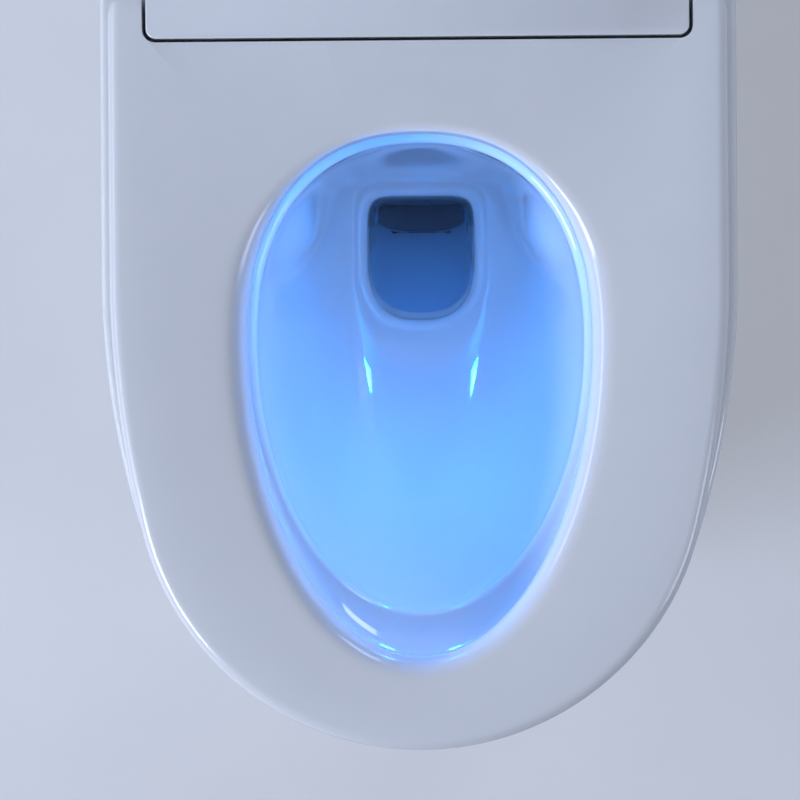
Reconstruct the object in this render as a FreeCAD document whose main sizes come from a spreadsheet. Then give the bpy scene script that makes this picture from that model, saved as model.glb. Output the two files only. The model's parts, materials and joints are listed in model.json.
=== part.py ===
import FreeCAD, Part
import Sketcher
import math
import os
import re
from FreeCAD import Placement, Rotation, Vector

# A floor-standing smart toilet with a heated seat, a hinged lid and a built-in wash and dry unit.
# Millimetres. The origin is the centre of the waste outlet at floor level, +Z is up, +Y points at
# the wall and -Y at the person in front. The lid is open and the seat is down.
# A shape that cuts a hole or hollow reaches 1 past each face that it goes through.

SIZES = [
    # the glazed ceramic body
    ("front_reach", 395, "seat tip ahead of the outlet centre"),
    ("rear_reach", 285, "back wall behind the outlet centre"),
    ("rim_width", 408, "width across the ceramic rim"),
    ("rim_height", 385, "top of the ceramic rim above the floor"),
    ("rim_setback", 1.5, "rim nose behind the seat tip"),
    ("waist_height", 230, "height of the skirt's waist section"),
    ("waist_width", 362, "skirt width at the waist"),
    ("waist_setback", 30, "waist nose behind the seat tip"),
    ("foot_width", 306, "skirt width at the floor"),
    ("foot_setback", 98, "foot nose behind the seat tip"),
    ("flank_reach", 95, "how far ahead of the outlet the sides run parallel"),
    ("nose_inset", 18, "skirt's half width minus its nose radius"),
    ("back_corner", 26, "radius of the skirt's back corners"),
    ("ceramic_wall", 12, "skirt and rim wall"),
    ("rim_edge_round", 5, "rounding of the rim's outer edge"),
    # the egg-shaped opening and the bowl
    ("opening_width", 217.4, "width of the seat opening"),
    ("opening_front", 200, "opening length ahead of its widest line"),
    ("opening_rear", 130, "opening length behind its widest line"),
    ("opening_centre", 137, "widest line ahead of the outlet centre"),
    ("bowl_margin", 8.5, "how far the bowl's mouth lies outside the seat opening"),
    ("bowl_wall", 10, "wall of the bowl"),
    ("ledge_depth", 60, "flush ledge below the rim"),
    ("ledge_width", 17, "width of the flush ledge"),
    ("bowl_depth", 195, "sump mouth below the rim"),
    ("bowl_fullness", 1.4, "how full the bowl's section is, where 1 is a cone and 2 an ellipse"),
    ("sump_width", 74, "width of the sump mouth"),
    ("sump_front", 46, "sump length ahead of its centre"),
    ("sump_rear", 38, "sump length behind its centre"),
    ("sump_centre", 76, "sump centre ahead of the outlet"),
    ("sump_floor", 74, "sump floor above the room's floor"),
    ("sump_taper", 6, "how much narrower the sump is at its floor, on each side"),
    # the trapway
    ("trap_radius", 27, "inner radius of the trapway"),
    ("trap_wall", 9, "wall of the trapway"),
    ("trap_bend", 40, "bend radius of the trapway's centreline"),
    ("trap_foot", 34, "foot of the rising run ahead of the outlet"),
    ("trap_crest_front", 28, "front of the crest behind the outlet"),
    ("trap_crest", 205, "height of the crest's centreline"),
    ("trap_back", 104, "falling run behind the outlet"),
    ("trap_return", 52, "height of the return run"),
    ("outlet_radius", 40, "bore of the outlet socket"),
    ("outlet_wall", 9, "wall of the outlet socket"),
    ("outlet_depth", 25, "depth of the outlet socket"),
    ("outlet_height", 36, "height of the outlet socket's outside"),
    ("gasket_gap", 0.3, "gap between the gasket and the socket"),
    ("gasket_width", 13, "width of the outlet gasket"),
    ("gasket_height", 15, "height of the outlet gasket"),
    # the deck behind the bowl
    ("deck_drop", 50, "nozzle deck below the rim"),
    ("deck_width", 260, "width of the nozzle bay"),
    ("deck_end", 100, "back of the nozzle bay"),
    ("cavity_width", 300, "width of the rear cavity's mouth"),
    ("cavity_end", 250, "back of the rear cavity's mouth"),
    ("service_width", 150, "width of the notch in the back wall"),
    ("service_height", 140, "height of the notch in the back wall"),
    # fixing to the floor
    ("fixing_behind", 165, "side fixings behind the outlet"),
    ("fixing_height", 42, "side fixing screws above the floor"),
    ("side_screw", 4, "radius of the side screws"),
    ("side_hole_gap", 0.5, "gap around a side screw"),
    ("side_screw_grip", 6, "side screw inside its bracket"),
    ("cap_radius", 9, "radius of the screw caps"),
    ("cap_height", 4, "height of the screw caps"),
    ("cap_round", 1, "edge rounding of the screw caps"),
    ("cap_sink", 2.5, "how deep a screw cap sits in the skirt"),
    ("bracket_plate", 4, "thickness of the floor brackets"),
    ("bracket_length", 60, "length of the floor brackets"),
    ("bracket_height", 62, "height of the floor brackets"),
    ("bracket_foot", 42, "foot width of the floor brackets"),
    ("bracket_hole", 4, "radius of the floor bolt holes"),
    ("bracket_hole_pitch", 36, "distance between a bracket's floor bolt holes"),
    ("bracket_gap", 1.6, "gap from a floor bracket to the foot of the skirt"),
    # the seat
    ("seat_width", 389, "width of the seat and lid"),
    ("seat_nose_inset", 14.5, "half width minus nose radius on seat and lid"),
    ("seat_lift", 4.5, "seat underside above the rim"),
    ("seat_height", 27.5, "thickness of the seat"),
    ("seat_edge_round", 8, "rounding of the seat's outer edge"),
    ("seat_lip_round", 15, "rounding of the seat's inner lip"),
    ("seat_wall", 3.2, "wall of the seat's top shell"),
    ("seat_base_plate", 3.5, "thickness of the seat's base"),
    ("seat_hollow_end", 38, "back of the seat's hollow behind the outlet"),
    ("fit_gap", 0.2, "gap around a piece that is let into another"),
    ("foil_thickness", 0.6, "thickness of the heating foil"),
    ("foil_inset", 12, "heating foil inside the seat's outline"),
    ("foil_margin", 3, "heating foil outside the lip's rounding"),
    ("wire_radius", 0.9, "heating wire"),
    ("wire_inset", 24, "outer run of the heating wire inside the outline"),
    ("wire_pitch", 13, "spacing of the heating wire's runs"),
    ("bumper_radius", 8, "seat bumpers"),
    ("bumper_gap", 0.3, "rest gap under a bumper"),
    ("bumper_rear_x", 150, "rear bumpers off centre"),
    ("bumper_rear_ahead", 20, "rear bumpers ahead of the outlet"),
    ("bumper_front_x", 85, "front bumpers off centre"),
    ("bumper_front_ahead", 332, "front bumpers ahead of the outlet"),
    # the hinge
    ("hinge_behind", 100, "hinge axis behind the outlet centre"),
    ("seat_arm", 10.7, "width of a seat arm at the hinge"),
    ("arm_gap", 0.9, "gap between seat arm and lid arm"),
    ("lid_arm_radius", 11, "radius of a lid arm's knuckle"),
    ("lid_arm_setback", 5, "back of a lid arm's web ahead of its knuckle's back"),
    ("lid_pocket_front", 78, "front of the pocket for the lid arm"),
    ("shaft_radius", 5, "hinge shafts"),
    ("shaft_gap", 0.3, "running gap around a hinge shaft"),
    ("shaft_entry", 14, "hinge shaft inside its damper"),
    ("shaft_inset", 2, "end of a hinge shaft inside the lid arm's outer face"),
    ("damper_radius", 10.5, "soft-close dampers"),
    ("damper_length", 72, "length of the dampers"),
    ("damper_inset", 2.5, "damper end inside the hinge cover's wall"),
    ("saddle_inset", 18, "damper saddles inside the damper's ends"),
    ("saddle_length", 14, "length of a damper saddle"),
    ("saddle_depth", 18, "width of a damper saddle"),
    ("lid_open_angle", 95, "lid opening angle"),
    # the lid
    ("lid_gap", 3, "lid underside above the seat when closed"),
    ("lid_height", 18, "thickness of the lid"),
    ("lid_edge_round", 9, "rounding of the lid's upper edge"),
    ("lid_low_round", 2, "rounding of the lid's lower edge"),
    ("lid_corner", 10, "radius of the lid's back corners"),
    ("lid_wall", 3, "wall of the lid's shell"),
    ("lid_hollow_end", 78, "back of the lid's hollow behind the outlet"),
    ("liner_plate", 3, "thickness of the lid's liner"),
    # the hinge cover between the seat arms
    ("cover_front", 52, "front of the hinge cover"),
    ("cover_width", 340, "width of the hinge cover"),
    ("cover_end", 113.5, "back of the hinge cover"),
    ("cover_wall", 2.5, "wall of the hinge cover"),
    ("cover_corner", 6, "front corner radius of the hinge cover"),
    ("cover_back_round", 13, "rounding of the hinge cover's upper back edge"),
    ("cover_edge_round", 1.2, "rounding of the hinge cover's upper front edge"),
    ("cover_hole_gap", 1, "gap around a hinge shaft in the hinge cover"),
    ("cover_gap", 2.5, "gap between hinge cover and seat"),
    # the base plate and the rear housing
    ("base_plate", 3, "thickness of the unit's base"),
    ("housing_width", 384, "width of the rear housing and the unit's base"),
    ("housing_front", 137.5, "foot of the rear housing's front wall"),
    ("housing_lean", 7, "how far the front wall leans back"),
    ("housing_height", 74, "height of the rear housing"),
    ("housing_end", 283, "back of the rear housing and the unit's base"),
    ("housing_wall", 3, "wall of the rear housing"),
    ("housing_round", 9, "edge rounding of the rear housing"),
    ("recess_x", 136, "connection recesses off centre"),
    ("recess_width", 66, "width of a connection recess"),
    ("recess_depth", 30, "depth of a connection recess"),
    ("recess_height", 50, "height of a connection recess"),
    ("deck_bolt", 4, "radius of the deck bolts"),
    ("deck_bolt_gap", 0.4, "gap around a deck bolt"),
    ("deck_bolt_head", 7, "radius of the deck bolt heads"),
    ("deck_bolt_head_height", 5, "height of the deck bolt heads"),
    ("deck_bolt_x", 172, "deck bolts off centre"),
    ("deck_bolt_front", 152, "front deck bolts behind the outlet"),
    ("deck_bolt_rear", 238, "rear deck bolts behind the outlet"),
    ("deck_nut_height", 6.5, "height of the deck nuts"),
    # the splash guard in front of the nozzle bay
    ("guard_front", 6, "front face of the splash guard"),
    ("guard_width", 252, "width of the splash guard"),
    ("guard_plate", 3, "thickness of the splash guard"),
    ("wand_window", 68, "width of the wand window"),
    ("wand_window_low", 4, "wand window above the deck"),
    ("wand_window_high", 27, "top of the wand window above the deck"),
    ("lens_inner", 80, "inner end of a night light lens off centre"),
    ("lens_outer", 118, "outer end of a night light lens off centre"),
    ("lens_low", 22, "lens above the deck"),
    ("lens_high", 36, "top of the lens above the deck"),
    ("light_board", 1.6, "thickness of a night light board"),
    # the wash wands
    ("wand_tilt", 12, "slope of the wands"),
    ("wand_x", 22, "wands off centre"),
    ("wand_tip_behind", 14, "wand tip behind the outlet centre"),
    ("wand_tip_above", 15, "wand tip above the deck"),
    ("wand_radius", 7, "wand tube"),
    ("wand_bore", 4, "bore of a wand"),
    ("tip_radius", 7.5, "wand tip"),
    ("tip_length", 22, "length of a wand tip"),
    ("wand_travel", 90, "travel of a wand"),
    ("wand_gap", 0.25, "running gap around a wand"),
    ("spray_hole", 0.9, "radius of the spray holes"),
    ("spray_count", 3, "spray holes in a wand tip"),
    ("spray_pitch", 4, "spacing of the spray holes"),
    ("guide_half_width", 36, "half width of a guide plate"),
    ("guide_spine", 12, "width of the guide's spine"),
    ("guide_plate", 6, "thickness of a guide plate"),
    ("guide_front", 38, "front of the first guide plate behind the outlet"),
    ("guide_second", 74, "front of the second guide plate behind the outlet"),
    ("well_gap", 1, "wand well in the unit's base behind the housing's front wall"),
    ("well_margin", 14, "wand well past the wands' ends"),
    ("guide_top_gap", 0.5, "gap between the guide and the unit's base"),
    # the wand drive
    ("gear_module", 0.8, "module of rack and pinion"),
    ("gear_root", 1.25, "depth of the tooth roots below the pitch line, in modules"),
    ("gear_angle", 20, "pressure angle of rack and pinion"),
    ("gear_slack", 0.16, "how much thinner each tooth is than half the pitch"),
    ("pinion_teeth", 20, "teeth on a pinion"),
    ("gear_width", 5, "face width of rack and pinion"),
    ("gear_centre_gap", 0.12, "extra centre distance of rack and pinion"),
    ("pinion_behind", 108, "pinion along the wand from its tip"),
    ("rack_back", 3, "rack between the wand tube and the tooth roots"),
    ("rack_margin", 10, "rack past the pinion at either end of the travel"),
    ("motor_plate", 3, "thickness of a motor plate"),
    ("motor_plate_x", 31, "motor plates off centre"),
    ("motor_plate_end", 136, "back of the motor plates"),
    ("motor_plate_low", 6, "motor plates above the deck"),
    ("motor_plate_high", 40, "top of the motor plates above the deck"),
    ("motor_radius", 9, "wand motors"),
    ("motor_length", 18, "length of a wand motor"),
    ("pinion_shaft", 1.5, "radius of a pinion's shaft"),
    ("pinion_shaft_entry", 5, "pinion shaft inside its motor"),
    # the warm-air dryer and the deodorizer
    ("duct_x", 64, "air ducts off centre"),
    ("duct_width", 16, "width of an air duct"),
    ("duct_wall", 1.5, "wall of an air duct"),
    ("duct_low", 5, "duct above the deck"),
    ("duct_height", 22, "height of an air duct"),
    ("riser_front", 146, "front of a duct's riser"),
    ("riser_depth", 16, "depth of a duct's riser"),
    ("element_plate", 1, "thickness of a plate of the air heater"),
    ("element_pitch", 3, "spacing of the air heater's plates"),
    ("element_count", 4, "plates of the air heater"),
    ("element_length", 26, "length of the air heater"),
    ("element_behind", 104, "front of the air heater behind the outlet"),
    ("fan_x", 86, "fans off centre"),
    ("fan_behind", 214, "fans behind the outlet centre"),
    ("fan_radius", 34, "outer radius of a fan case"),
    ("fan_wall", 2, "wall of a fan case"),
    ("fan_height", 26, "height of a fan case"),
    ("fan_inlet", 14, "radius of a fan's air inlet"),
    ("impeller_radius", 27, "radius of an impeller"),
    ("impeller_height", 16, "height of an impeller"),
    ("impeller_lift", 2, "impeller above the fan case's floor"),
    ("impeller_plate", 1.6, "thickness of an impeller's disc"),
    ("impeller_blades", 16, "blades on an impeller"),
    ("blade_depth", 9, "radial depth of an impeller blade"),
    ("blade_plate", 1.2, "thickness of an impeller blade"),
    ("impeller_hub", 8, "radius of an impeller's hub"),
    ("impeller_shaft", 1.5, "radius of an impeller's shaft"),
    ("impeller_entry", 5, "impeller shaft inside its motor"),
    ("fan_motor_radius", 13, "fan motors"),
    ("fan_motor_height", 18, "height of a fan motor"),
    ("filter_radius", 20, "radius of the carbon filter"),
    ("filter_height", 12, "height of the carbon filter"),
    # water parts
    ("heater_width", 88, "width of the water heater"),
    ("heater_front", 232, "front of the water heater"),
    ("heater_depth", 46, "depth of the water heater"),
    ("heater_height", 40, "height of the water heater"),
    ("heater_round", 5, "edge rounding of the water heater"),
    ("selector_width", 36, "width of the flow selector"),
    ("selector_depth", 30, "depth of the flow selector"),
    ("selector_height", 16, "height of the flow selector"),
    ("selector_motor", 9, "radius of the flow selector's motor"),
    ("selector_motor_height", 12, "height of the flow selector's motor"),
    ("connection_above", 24, "inlet and gland axis above the unit's base"),
    ("inlet_thread", 10.48, "radius of the inlet's male thread"),
    ("inlet_thread_length", 13, "length of the inlet's thread"),
    ("inlet_bore", 6, "bore of the inlet"),
    ("inlet_body", 8, "radius of the inlet inside the housing wall"),
    ("inlet_flange", 14, "radius of the inlet's flange"),
    ("inlet_flange_plate", 4, "thickness of the inlet's flange"),
    ("valve_width", 30, "width of the solenoid valve"),
    ("valve_length", 33, "length of the solenoid valve"),
    ("valve_height", 39, "height of the solenoid valve's body"),
    ("valve_gap", 2, "solenoid valve ahead of the recess wall"),
    ("coil_radius", 11, "solenoid coil"),
    ("coil_height", 18, "height of the solenoid coil"),
    ("tank_width", 288, "width of the flush tank"),
    ("tank_front", 163, "front of the flush tank"),
    ("tank_end", 245, "back of the flush tank"),
    ("tank_drop", 50, "top of the flush tank's lid below the rim"),
    ("tank_height", 169, "height of the flush tank"),
    ("tank_wall", 2.5, "wall of the flush tank"),
    ("tank_lid_plate", 3, "thickness of the flush tank's lid"),
    ("hanger_radius", 5, "hangers of the flush tank"),
    ("hanger_x", 112, "hangers off centre"),
    ("hanger_inset", 11, "hangers inside the tank's front and back"),
    ("pump_x", 80, "flush pump off centre"),
    ("pump_radius", 30, "flush pump"),
    ("pump_height", 70, "height of the flush pump"),
    ("pump_port_low", 26, "lower pump port above the pump's foot"),
    ("pump_port_high", 56, "upper pump port above the pump's foot"),
    ("pump_port_length", 6, "length of a pump port"),
    ("hose_radius", 10, "outer radius of the hoses"),
    ("hose_bore", 7, "bore of the hoses"),
    ("hose_bend", 28, "bend radius of the hoses"),
    ("hose_hole_gap", 0.4, "gap around a hose in the unit's base"),
    ("spigot_radius", 11, "ceramic hose spigots"),
    ("jet_reach", 51.5, "end of the jet spigot off centre"),
    ("rim_port_height", 300, "rim spigot above the floor"),
    ("rim_port_end", 20, "end of the rim spigot behind the outlet"),
    ("rim_port_start", 70, "start of the rim spigot ahead of the outlet"),
    ("rim_rise_behind", 126, "rising run of the rim hose behind the outlet"),
    ("fill_spigot", 6.8, "radius of the tank lid's spigot"),
    ("fill_spigot_height", 15, "height of the tank lid's spigot"),
    # electrics and controls
    ("supply_x", 128, "inner side of the power supply off centre"),
    ("supply_width", 28, "width of the power supply"),
    ("supply_front", 162, "front of the power supply"),
    ("supply_length", 80, "length of the power supply"),
    ("supply_height", 36, "height of the power supply"),
    ("board_x", 154, "control board's centre off centre"),
    ("board_width", 54, "width of the control board"),
    ("board_front", 150, "front of the control board"),
    ("board_length", 56, "length of the control board"),
    ("board_plate", 1.6, "thickness of the control board"),
    ("board_lift", 8, "control board above the base"),
    ("post_radius", 2.5, "posts under the control board"),
    ("post_inset", 5, "posts inside the control board's sides"),
    ("post_front_inset", 13, "front posts inside the control board's front"),
    ("chip_side", 10, "side of a control board component"),
    ("chip_height", 6, "height of a control board component"),
    ("chip_pitch", 16, "spacing of the control board's components"),
    ("display_width", 84, "width of the display window"),
    ("display_depth", 22, "depth of the display window"),
    ("display_behind", 178, "display window's centre behind the outlet"),
    ("display_plate", 6, "thickness of the display window"),
    ("display_flange", 3, "flange of the display window under the housing"),
    ("control_wall_x", 160, "control bracket off centre"),
    ("control_wall", 3, "thickness of the control bracket"),
    ("control_wall_front", 152, "front of the control bracket"),
    ("control_wall_length", 78, "length of the control bracket"),
    ("control_wall_height", 52, "height of the control bracket"),
    ("control_above", 40, "knob and button axis above the base"),
    ("knob_behind", 212, "knob behind the outlet centre"),
    ("knob_radius", 17, "radius of the knob"),
    ("knob_depth", 13, "depth of the knob"),
    ("knob_round", 2, "edge rounding of the knob"),
    ("knob_gap", 2, "gap between knob and housing"),
    ("knob_bore_end", 4, "knob face outside its bore"),
    ("grip_depth", 1, "depth of the knob's grip grooves"),
    ("grip_count", 18, "grip grooves around the knob"),
    ("plunger_radius", 4, "radius of the knob's plunger"),
    ("plunger_hole_gap", 1, "gap around the knob's plunger in the housing"),
    ("plunger_gap", 0.3, "running gap around the knob's plunger"),
    ("encoder_depth", 11, "depth of the encoder"),
    ("encoder_side", 18, "side of the encoder"),
    ("encoder_floor", 3, "encoder wall under the plunger's end"),
    ("knob_travel", 1.5, "press travel of the knob"),
    ("button_behind", 172, "flush button behind the outlet centre"),
    ("button_radius", 9, "radius of the flush button"),
    ("button_gap", 0.4, "running gap around the flush button"),
    ("button_proud", 3.5, "flush button outside the housing"),
    ("button_round", 1.5, "edge rounding of the flush button"),
    ("button_flange", 11, "radius of the flush button's flange"),
    ("button_flange_plate", 3, "thickness of the flush button's flange"),
    ("button_stem", 4, "radius of the flush button's stem"),
    ("button_travel", 2.5, "travel of the flush button"),
    ("switch_depth", 10, "depth of the flush switch"),
    ("switch_side", 14, "side of the flush switch"),
    ("gland_radius", 8, "radius of the power gland's body"),
    ("gland_bore", 4, "bore of the power gland"),
    ("gland_flange", 11, "radius of the power gland's flange and nut"),
    ("gland_flange_plate", 4, "thickness of the power gland's flange"),
    ("gland_proud", 12, "power gland outside its flange"),
    ("gland_nut_height", 5, "height of the power gland's nut"),
]

DOC = FreeCAD.newDocument("smart_toilet")
SHEET = DOC.addObject("Spreadsheet::Sheet", "Sizes")
for row, (alias, value, meaning) in enumerate(SIZES, 1):
    SHEET.set(f"A{row}", meaning)
    SHEET.set(f"B{row}", str(value))
    SHEET.setAlias(f"B{row}", alias)
DOC.recompute()
ALIASES = {alias for alias, value, meaning in SIZES}
NODES = []


class Sheet:
    """Reads a size from the sheet by its name, as a plain number."""

    def __getattr__(self, alias):
        return float(SHEET.get(alias))


S = Sheet()


# ---------------------------------------------------------------- helpers for bound objects
def formula(text):
    """A formula in the sheet's names, as the document's expressions write it."""
    def written(word):
        return "Sizes." + word[0] if word[0] in ALIASES else word[0]
    return re.sub(r"[a-z][a-z_]*", written, str(text))


def bind(thing, prop, text):
    thing.setExpression(prop, formula(text))


def at(thing, x, y, z):
    for axis, text in zip("xyz", (x, y, z)):
        bind(thing, "Placement.Base." + axis, text)
    return thing


def box(x, y, z):
    """A block between two formulas along each axis."""
    thing = DOC.addObject("Part::Box", "block")
    for prop, (low, high) in zip(("Length", "Width", "Height"), (x, y, z)):
        bind(thing, prop, f"({high}) - ({low})")
    return at(thing, x[0], y[0], z[0])


TURNS = {"x": Rotation(Vector(0, 1, 0), 90), "y": Rotation(Vector(1, 0, 0), -90), "z": Rotation()}


def rod(axis, radius, start, length):
    """A cylinder from start, running along +x, +y or +z."""
    thing = DOC.addObject("Part::Cylinder", "rod")
    thing.Placement = Placement(Vector(), TURNS[axis])
    bind(thing, "Radius", radius)
    bind(thing, "Height", length)
    return at(thing, *start)


def fuse(*pieces):
    thing = DOC.addObject("Part::MultiFuse", "joined")
    thing.Shapes = list(pieces)
    return thing


def cut(piece, *tools):
    thing = DOC.addObject("Part::Cut", "cut")
    thing.Base = piece
    thing.Tool = tools[0] if len(tools) == 1 else fuse(*tools)
    return thing


def group(*pieces):
    """Separate solids that share one node."""
    thing = DOC.addObject("Part::Compound", "group")
    thing.Links = list(pieces)
    return thing


def shaped(shape, placement=None):
    """An object whose shape is worked out below from the sheet."""
    thing = DOC.addObject("Part::Feature", "shaped")
    thing.Shape = shape
    if placement is not None:
        thing.Placement = placement
    return thing


def node(name, thing):
    thing.Label = name
    NODES.append(thing)
    return thing


# ---------------------------------------------------------------- helpers for bodies made from sketches
def sketch(body, role, x, y, z):
    """A sketch on one of the body's own planes, with its origin at the point x, y, z."""
    made = body.newObject("Sketcher::SketchObject", "outline")
    plane = [feature for feature in body.Origin.OriginFeatures if feature.Role == role][0]
    made.AttachmentSupport = [(plane, "")]
    made.MapMode = "FlatFace"
    offset = {"XY_Plane": (x, y, z), "XZ_Plane": (x, z, f"-({y})"), "YZ_Plane": (y, z, x)}[role]
    for axis, text in zip("xyz", offset):
        bind(made, "AttachmentOffset.Base." + axis, text)
    return made


# A sketch is drawn roughly, and its constraints then bring it to its sizes.
LEVEL, UPRIGHT = "Horizontal", "Vertical"


def four_sides(made, corners, ways):
    """A closed outline of four lines, each level, upright or free as its way says."""
    for start, end in zip(corners, corners[1:] + corners[:1]):
        made.addGeometry(Part.LineSegment(Vector(*start), Vector(*end)), False)
    for line, way in enumerate(ways):
        made.addConstraint(Sketcher.Constraint("Coincident", line, 2, (line + 1) % 4, 1))
        if way:
            made.addConstraint(Sketcher.Constraint(way, line))


def dimension(made, name, constraint, size):
    """A constraint whose value is bound to a formula."""
    made.renameConstraint(made.addConstraint(constraint), name)
    bind(made, "Constraints." + name, size)


def rectangle(made, width, height):
    """A rectangle from the sketch's origin."""
    four_sides(made, [(0, 0), (10, 0), (10, 10), (0, 10)], (LEVEL, UPRIGHT, LEVEL, UPRIGHT))
    made.addConstraint(Sketcher.Constraint("Coincident", 0, 1, -1, 1))
    dimension(made, "across", Sketcher.Constraint("DistanceX", 0, 1, 0, 2, 10), width)
    dimension(made, "up", Sketcher.Constraint("DistanceY", 1, 1, 1, 2, 10), height)
    return made


def circle(made, radius):
    """A circle on the sketch's origin."""
    made.addGeometry(Part.Circle(Vector(0, 0), Vector(0, 0, 1), 5), False)
    made.addConstraint(Sketcher.Constraint("Coincident", 0, 3, -1, 1))
    dimension(made, "round", Sketcher.Constraint("Radius", 0, 5), radius)
    return made


def pad(body, profile, length, backward=False):
    made = body.newObject("PartDesign::Pad", "Pad")
    made.Profile = profile
    made.Reversed = backward
    bind(made, "Length", length)
    DOC.recompute()
    return made


def pocket(body, profile, length, backward=False):
    made = body.newObject("PartDesign::Pocket", "Pocket")
    made.Profile = profile
    made.Reversed = backward
    before = body.Shape.Volume
    bind(made, "Length", length)
    DOC.recompute()
    if not body.Shape.Volume < before - 0.01:
        raise ValueError(f"a pocket in {body.Label} cuts nothing")
    return made


def edges_where(shape, test):
    return [f"Edge{number}" for number, edge in enumerate(shape.Edges, 1) if test(edge)]


def fillet(body, radius, test):
    base = body.Tip
    made = body.newObject("PartDesign::Fillet", "Fillet")
    made.Base = (base, edges_where(base.Shape, test))
    bind(made, "Radius", radius)
    DOC.recompute()
    return made


def upright(edge):
    """True for a straight edge along Z."""
    box_of = edge.BoundBox
    return max(box_of.XLength, box_of.YLength) < 1e-6


# ---------------------------------------------------------------- outlines
def arc(centre, radius, start, end, z):
    """An arc from angle start to angle end, in degrees."""
    def point(angle):
        turn = math.radians(angle)
        return Vector(centre[0] + radius * math.cos(turn), centre[1] + radius * math.sin(turn), z)
    return Part.Arc(point(start), point((start + end) / 2), point(end)).toShape()


def mirrored(edges):
    """The edges reflected left to right, in reverse order, so that the outline closes."""
    return [edge.mirror(Vector(), Vector(1, 0, 0)) for edge in reversed(edges)]


def half_front(half, tip, nose, z):
    """The right half of a toilet's front: a round nose, then a long flank arc that ends parallel."""
    parallel = -S.flank_reach
    nose_centre = tip + nose
    flank = ((parallel - nose_centre) ** 2 / (half - nose) + nose + half) / 2
    meet = math.degrees(math.atan2(nose_centre - parallel, flank - half))
    return [
        arc((0, nose_centre), nose, -90, meet, z),
        arc((half - flank, parallel), flank, meet, 0, z),
    ]


def outline(half, tip, back, nose, corner, z):
    """A closed D-shaped outline: round at the front, parallel sides and a straight back."""
    side = Part.LineSegment(Vector(half, -S.flank_reach, z), Vector(half, back - corner, z)).toShape()
    turn = arc((half - corner, back - corner), corner, 0, 90, z)
    back_edge = Part.LineSegment(Vector(half - corner, back, z), Vector(corner - half, back, z)).toShape()
    right = half_front(half, tip, nose, z) + [side, turn]
    return Part.Wire(Part.__sortEdges__(right + [back_edge] + mirrored(right)))


EGG_POINTS = 36
ELLIPSE = 2
SQUARENESS = 2.3


def egg(half, front, rear, centre, z):
    """The closed egg of the opening, the bowl and the sump: an ellipse in front, fuller behind."""
    points = []
    for step in range(EGG_POINTS):
        turn = 2 * math.pi * step / EGG_POINTS
        across, along = math.cos(turn), math.sin(turn)
        power, reach = (SQUARENESS, rear) if along > 0 else (ELLIPSE, front)
        radius = (abs(across / half) ** power + abs(along / reach) ** power) ** (-1 / power)
        points.append(Vector(radius * across, centre + radius * along, z))
    curve = Part.BSplineCurve()
    curve.interpolate(points, PeriodicFlag=True)
    return Part.Wire([curve.toShape()])


def block(x0, x1, y0, y1, z0, z1):
    return Part.makeBox(x1 - x0, y1 - y0, z1 - z0, Vector(x0, y0, z0))


def prism(wire, height):
    return Part.Face(wire).extrude(Vector(0, 0, height))


def loft(wires):
    return Part.makeLoft(wires, True, False)


def top_chain(shape, z):
    """The level edges of a shape at height z."""
    return [edge for edge in shape.Edges if edge.BoundBox.ZMin > z - 0.01 and edge.BoundBox.ZLength < 0.02]


def rounded_path(points, bend):
    """Straight runs joined by tangent arcs of one bend radius."""
    edges, start = [], points[0]
    for before, corner, after in zip(points, points[1:], points[2:]):
        into = (corner - before).normalize()
        out = (after - corner).normalize()
        turn = into.getAngle(out)
        reach = bend * math.tan(turn / 2)
        first, last = corner - into * reach, corner + out * reach
        inward = (out - into).normalize()
        middle = corner + inward * (bend / math.cos(turn / 2) - bend)
        edges.append(Part.LineSegment(start, first).toShape())
        edges.append(Part.Arc(first, middle, last).toShape())
        start = last
    edges.append(Part.LineSegment(start, points[-1]).toShape())
    return Part.Wire(edges)


def tube(path, radius):
    """A round bar along a path of runs and tangent arcs."""
    first = path.Edges[0]
    start, way = first.valueAt(first.FirstParameter), first.tangentAt(first.FirstParameter)
    ring = Part.Wire([Part.makeCircle(radius, start, way)])
    return path.makePipeShell([ring], True, True)


# ---------------------------------------------------------------- levels that many pieces share
# As formulas for bound objects, and as numbers for shapes that are worked out here.
RIM = "rim_height"
DECK = "(rim_height - deck_drop)"
BASE_TOP = "(rim_height + base_plate)"
HINGE_Z = "(rim_height + seat_lift + seat_height / 2)"
CONNECTION_Z = "(rim_height + base_plate + connection_above)"
CONTROL_Z = "(rim_height + base_plate + control_above)"
HOUSING_SIDE = "(housing_width / 2)"
RECESS_WALL = "(housing_end - recess_depth)"
TANK_TOP = "(rim_height - tank_drop)"
PUMP_TOP = "(rim_height - tank_drop - tank_lid_plate - tank_height)"
PUMP_FOOT = "(rim_height - tank_drop - tank_lid_plate - tank_height - pump_height)"
PUMP_Y = "((tank_front + tank_end) / 2)"

SEAT_LOW = S.rim_height + S.seat_lift
SEAT_TOP = SEAT_LOW + S.seat_height
HINGE = Vector(0, S.hinge_behind, SEAT_LOW + S.seat_height / 2)
LID_LOW = SEAT_TOP + S.lid_gap
LID_TOP = LID_LOW + S.lid_height
LID_BACK = S.hinge_behind + S.lid_arm_radius
DECK_Z = S.rim_height - S.deck_drop
LEDGE_Z = S.rim_height - S.ledge_depth
SUMP_Z = S.rim_height - S.bowl_depth
ARM_INNER = S.cover_width / 2 + S.cover_gap
ARM_OUTER = ARM_INNER + S.seat_arm
LID_ARM_INNER = ARM_OUTER + S.arm_gap
PUMP_BASE = S.rim_height - S.tank_drop - S.tank_lid_plate - S.tank_height - S.pump_height
JET_Z = PUMP_BASE + S.pump_port_low
PUMP_MIDDLE = (S.tank_front + S.tank_end) / 2
BAY_START = -S.opening_centre / 2  # inside the bowl's chamber, so that bay and chamber join
SCREW_REACH = S.cap_sink + 3 * S.ceramic_wall  # from a cap's seat to well inside the skirt


def sides():
    return (-1, 1)


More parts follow.
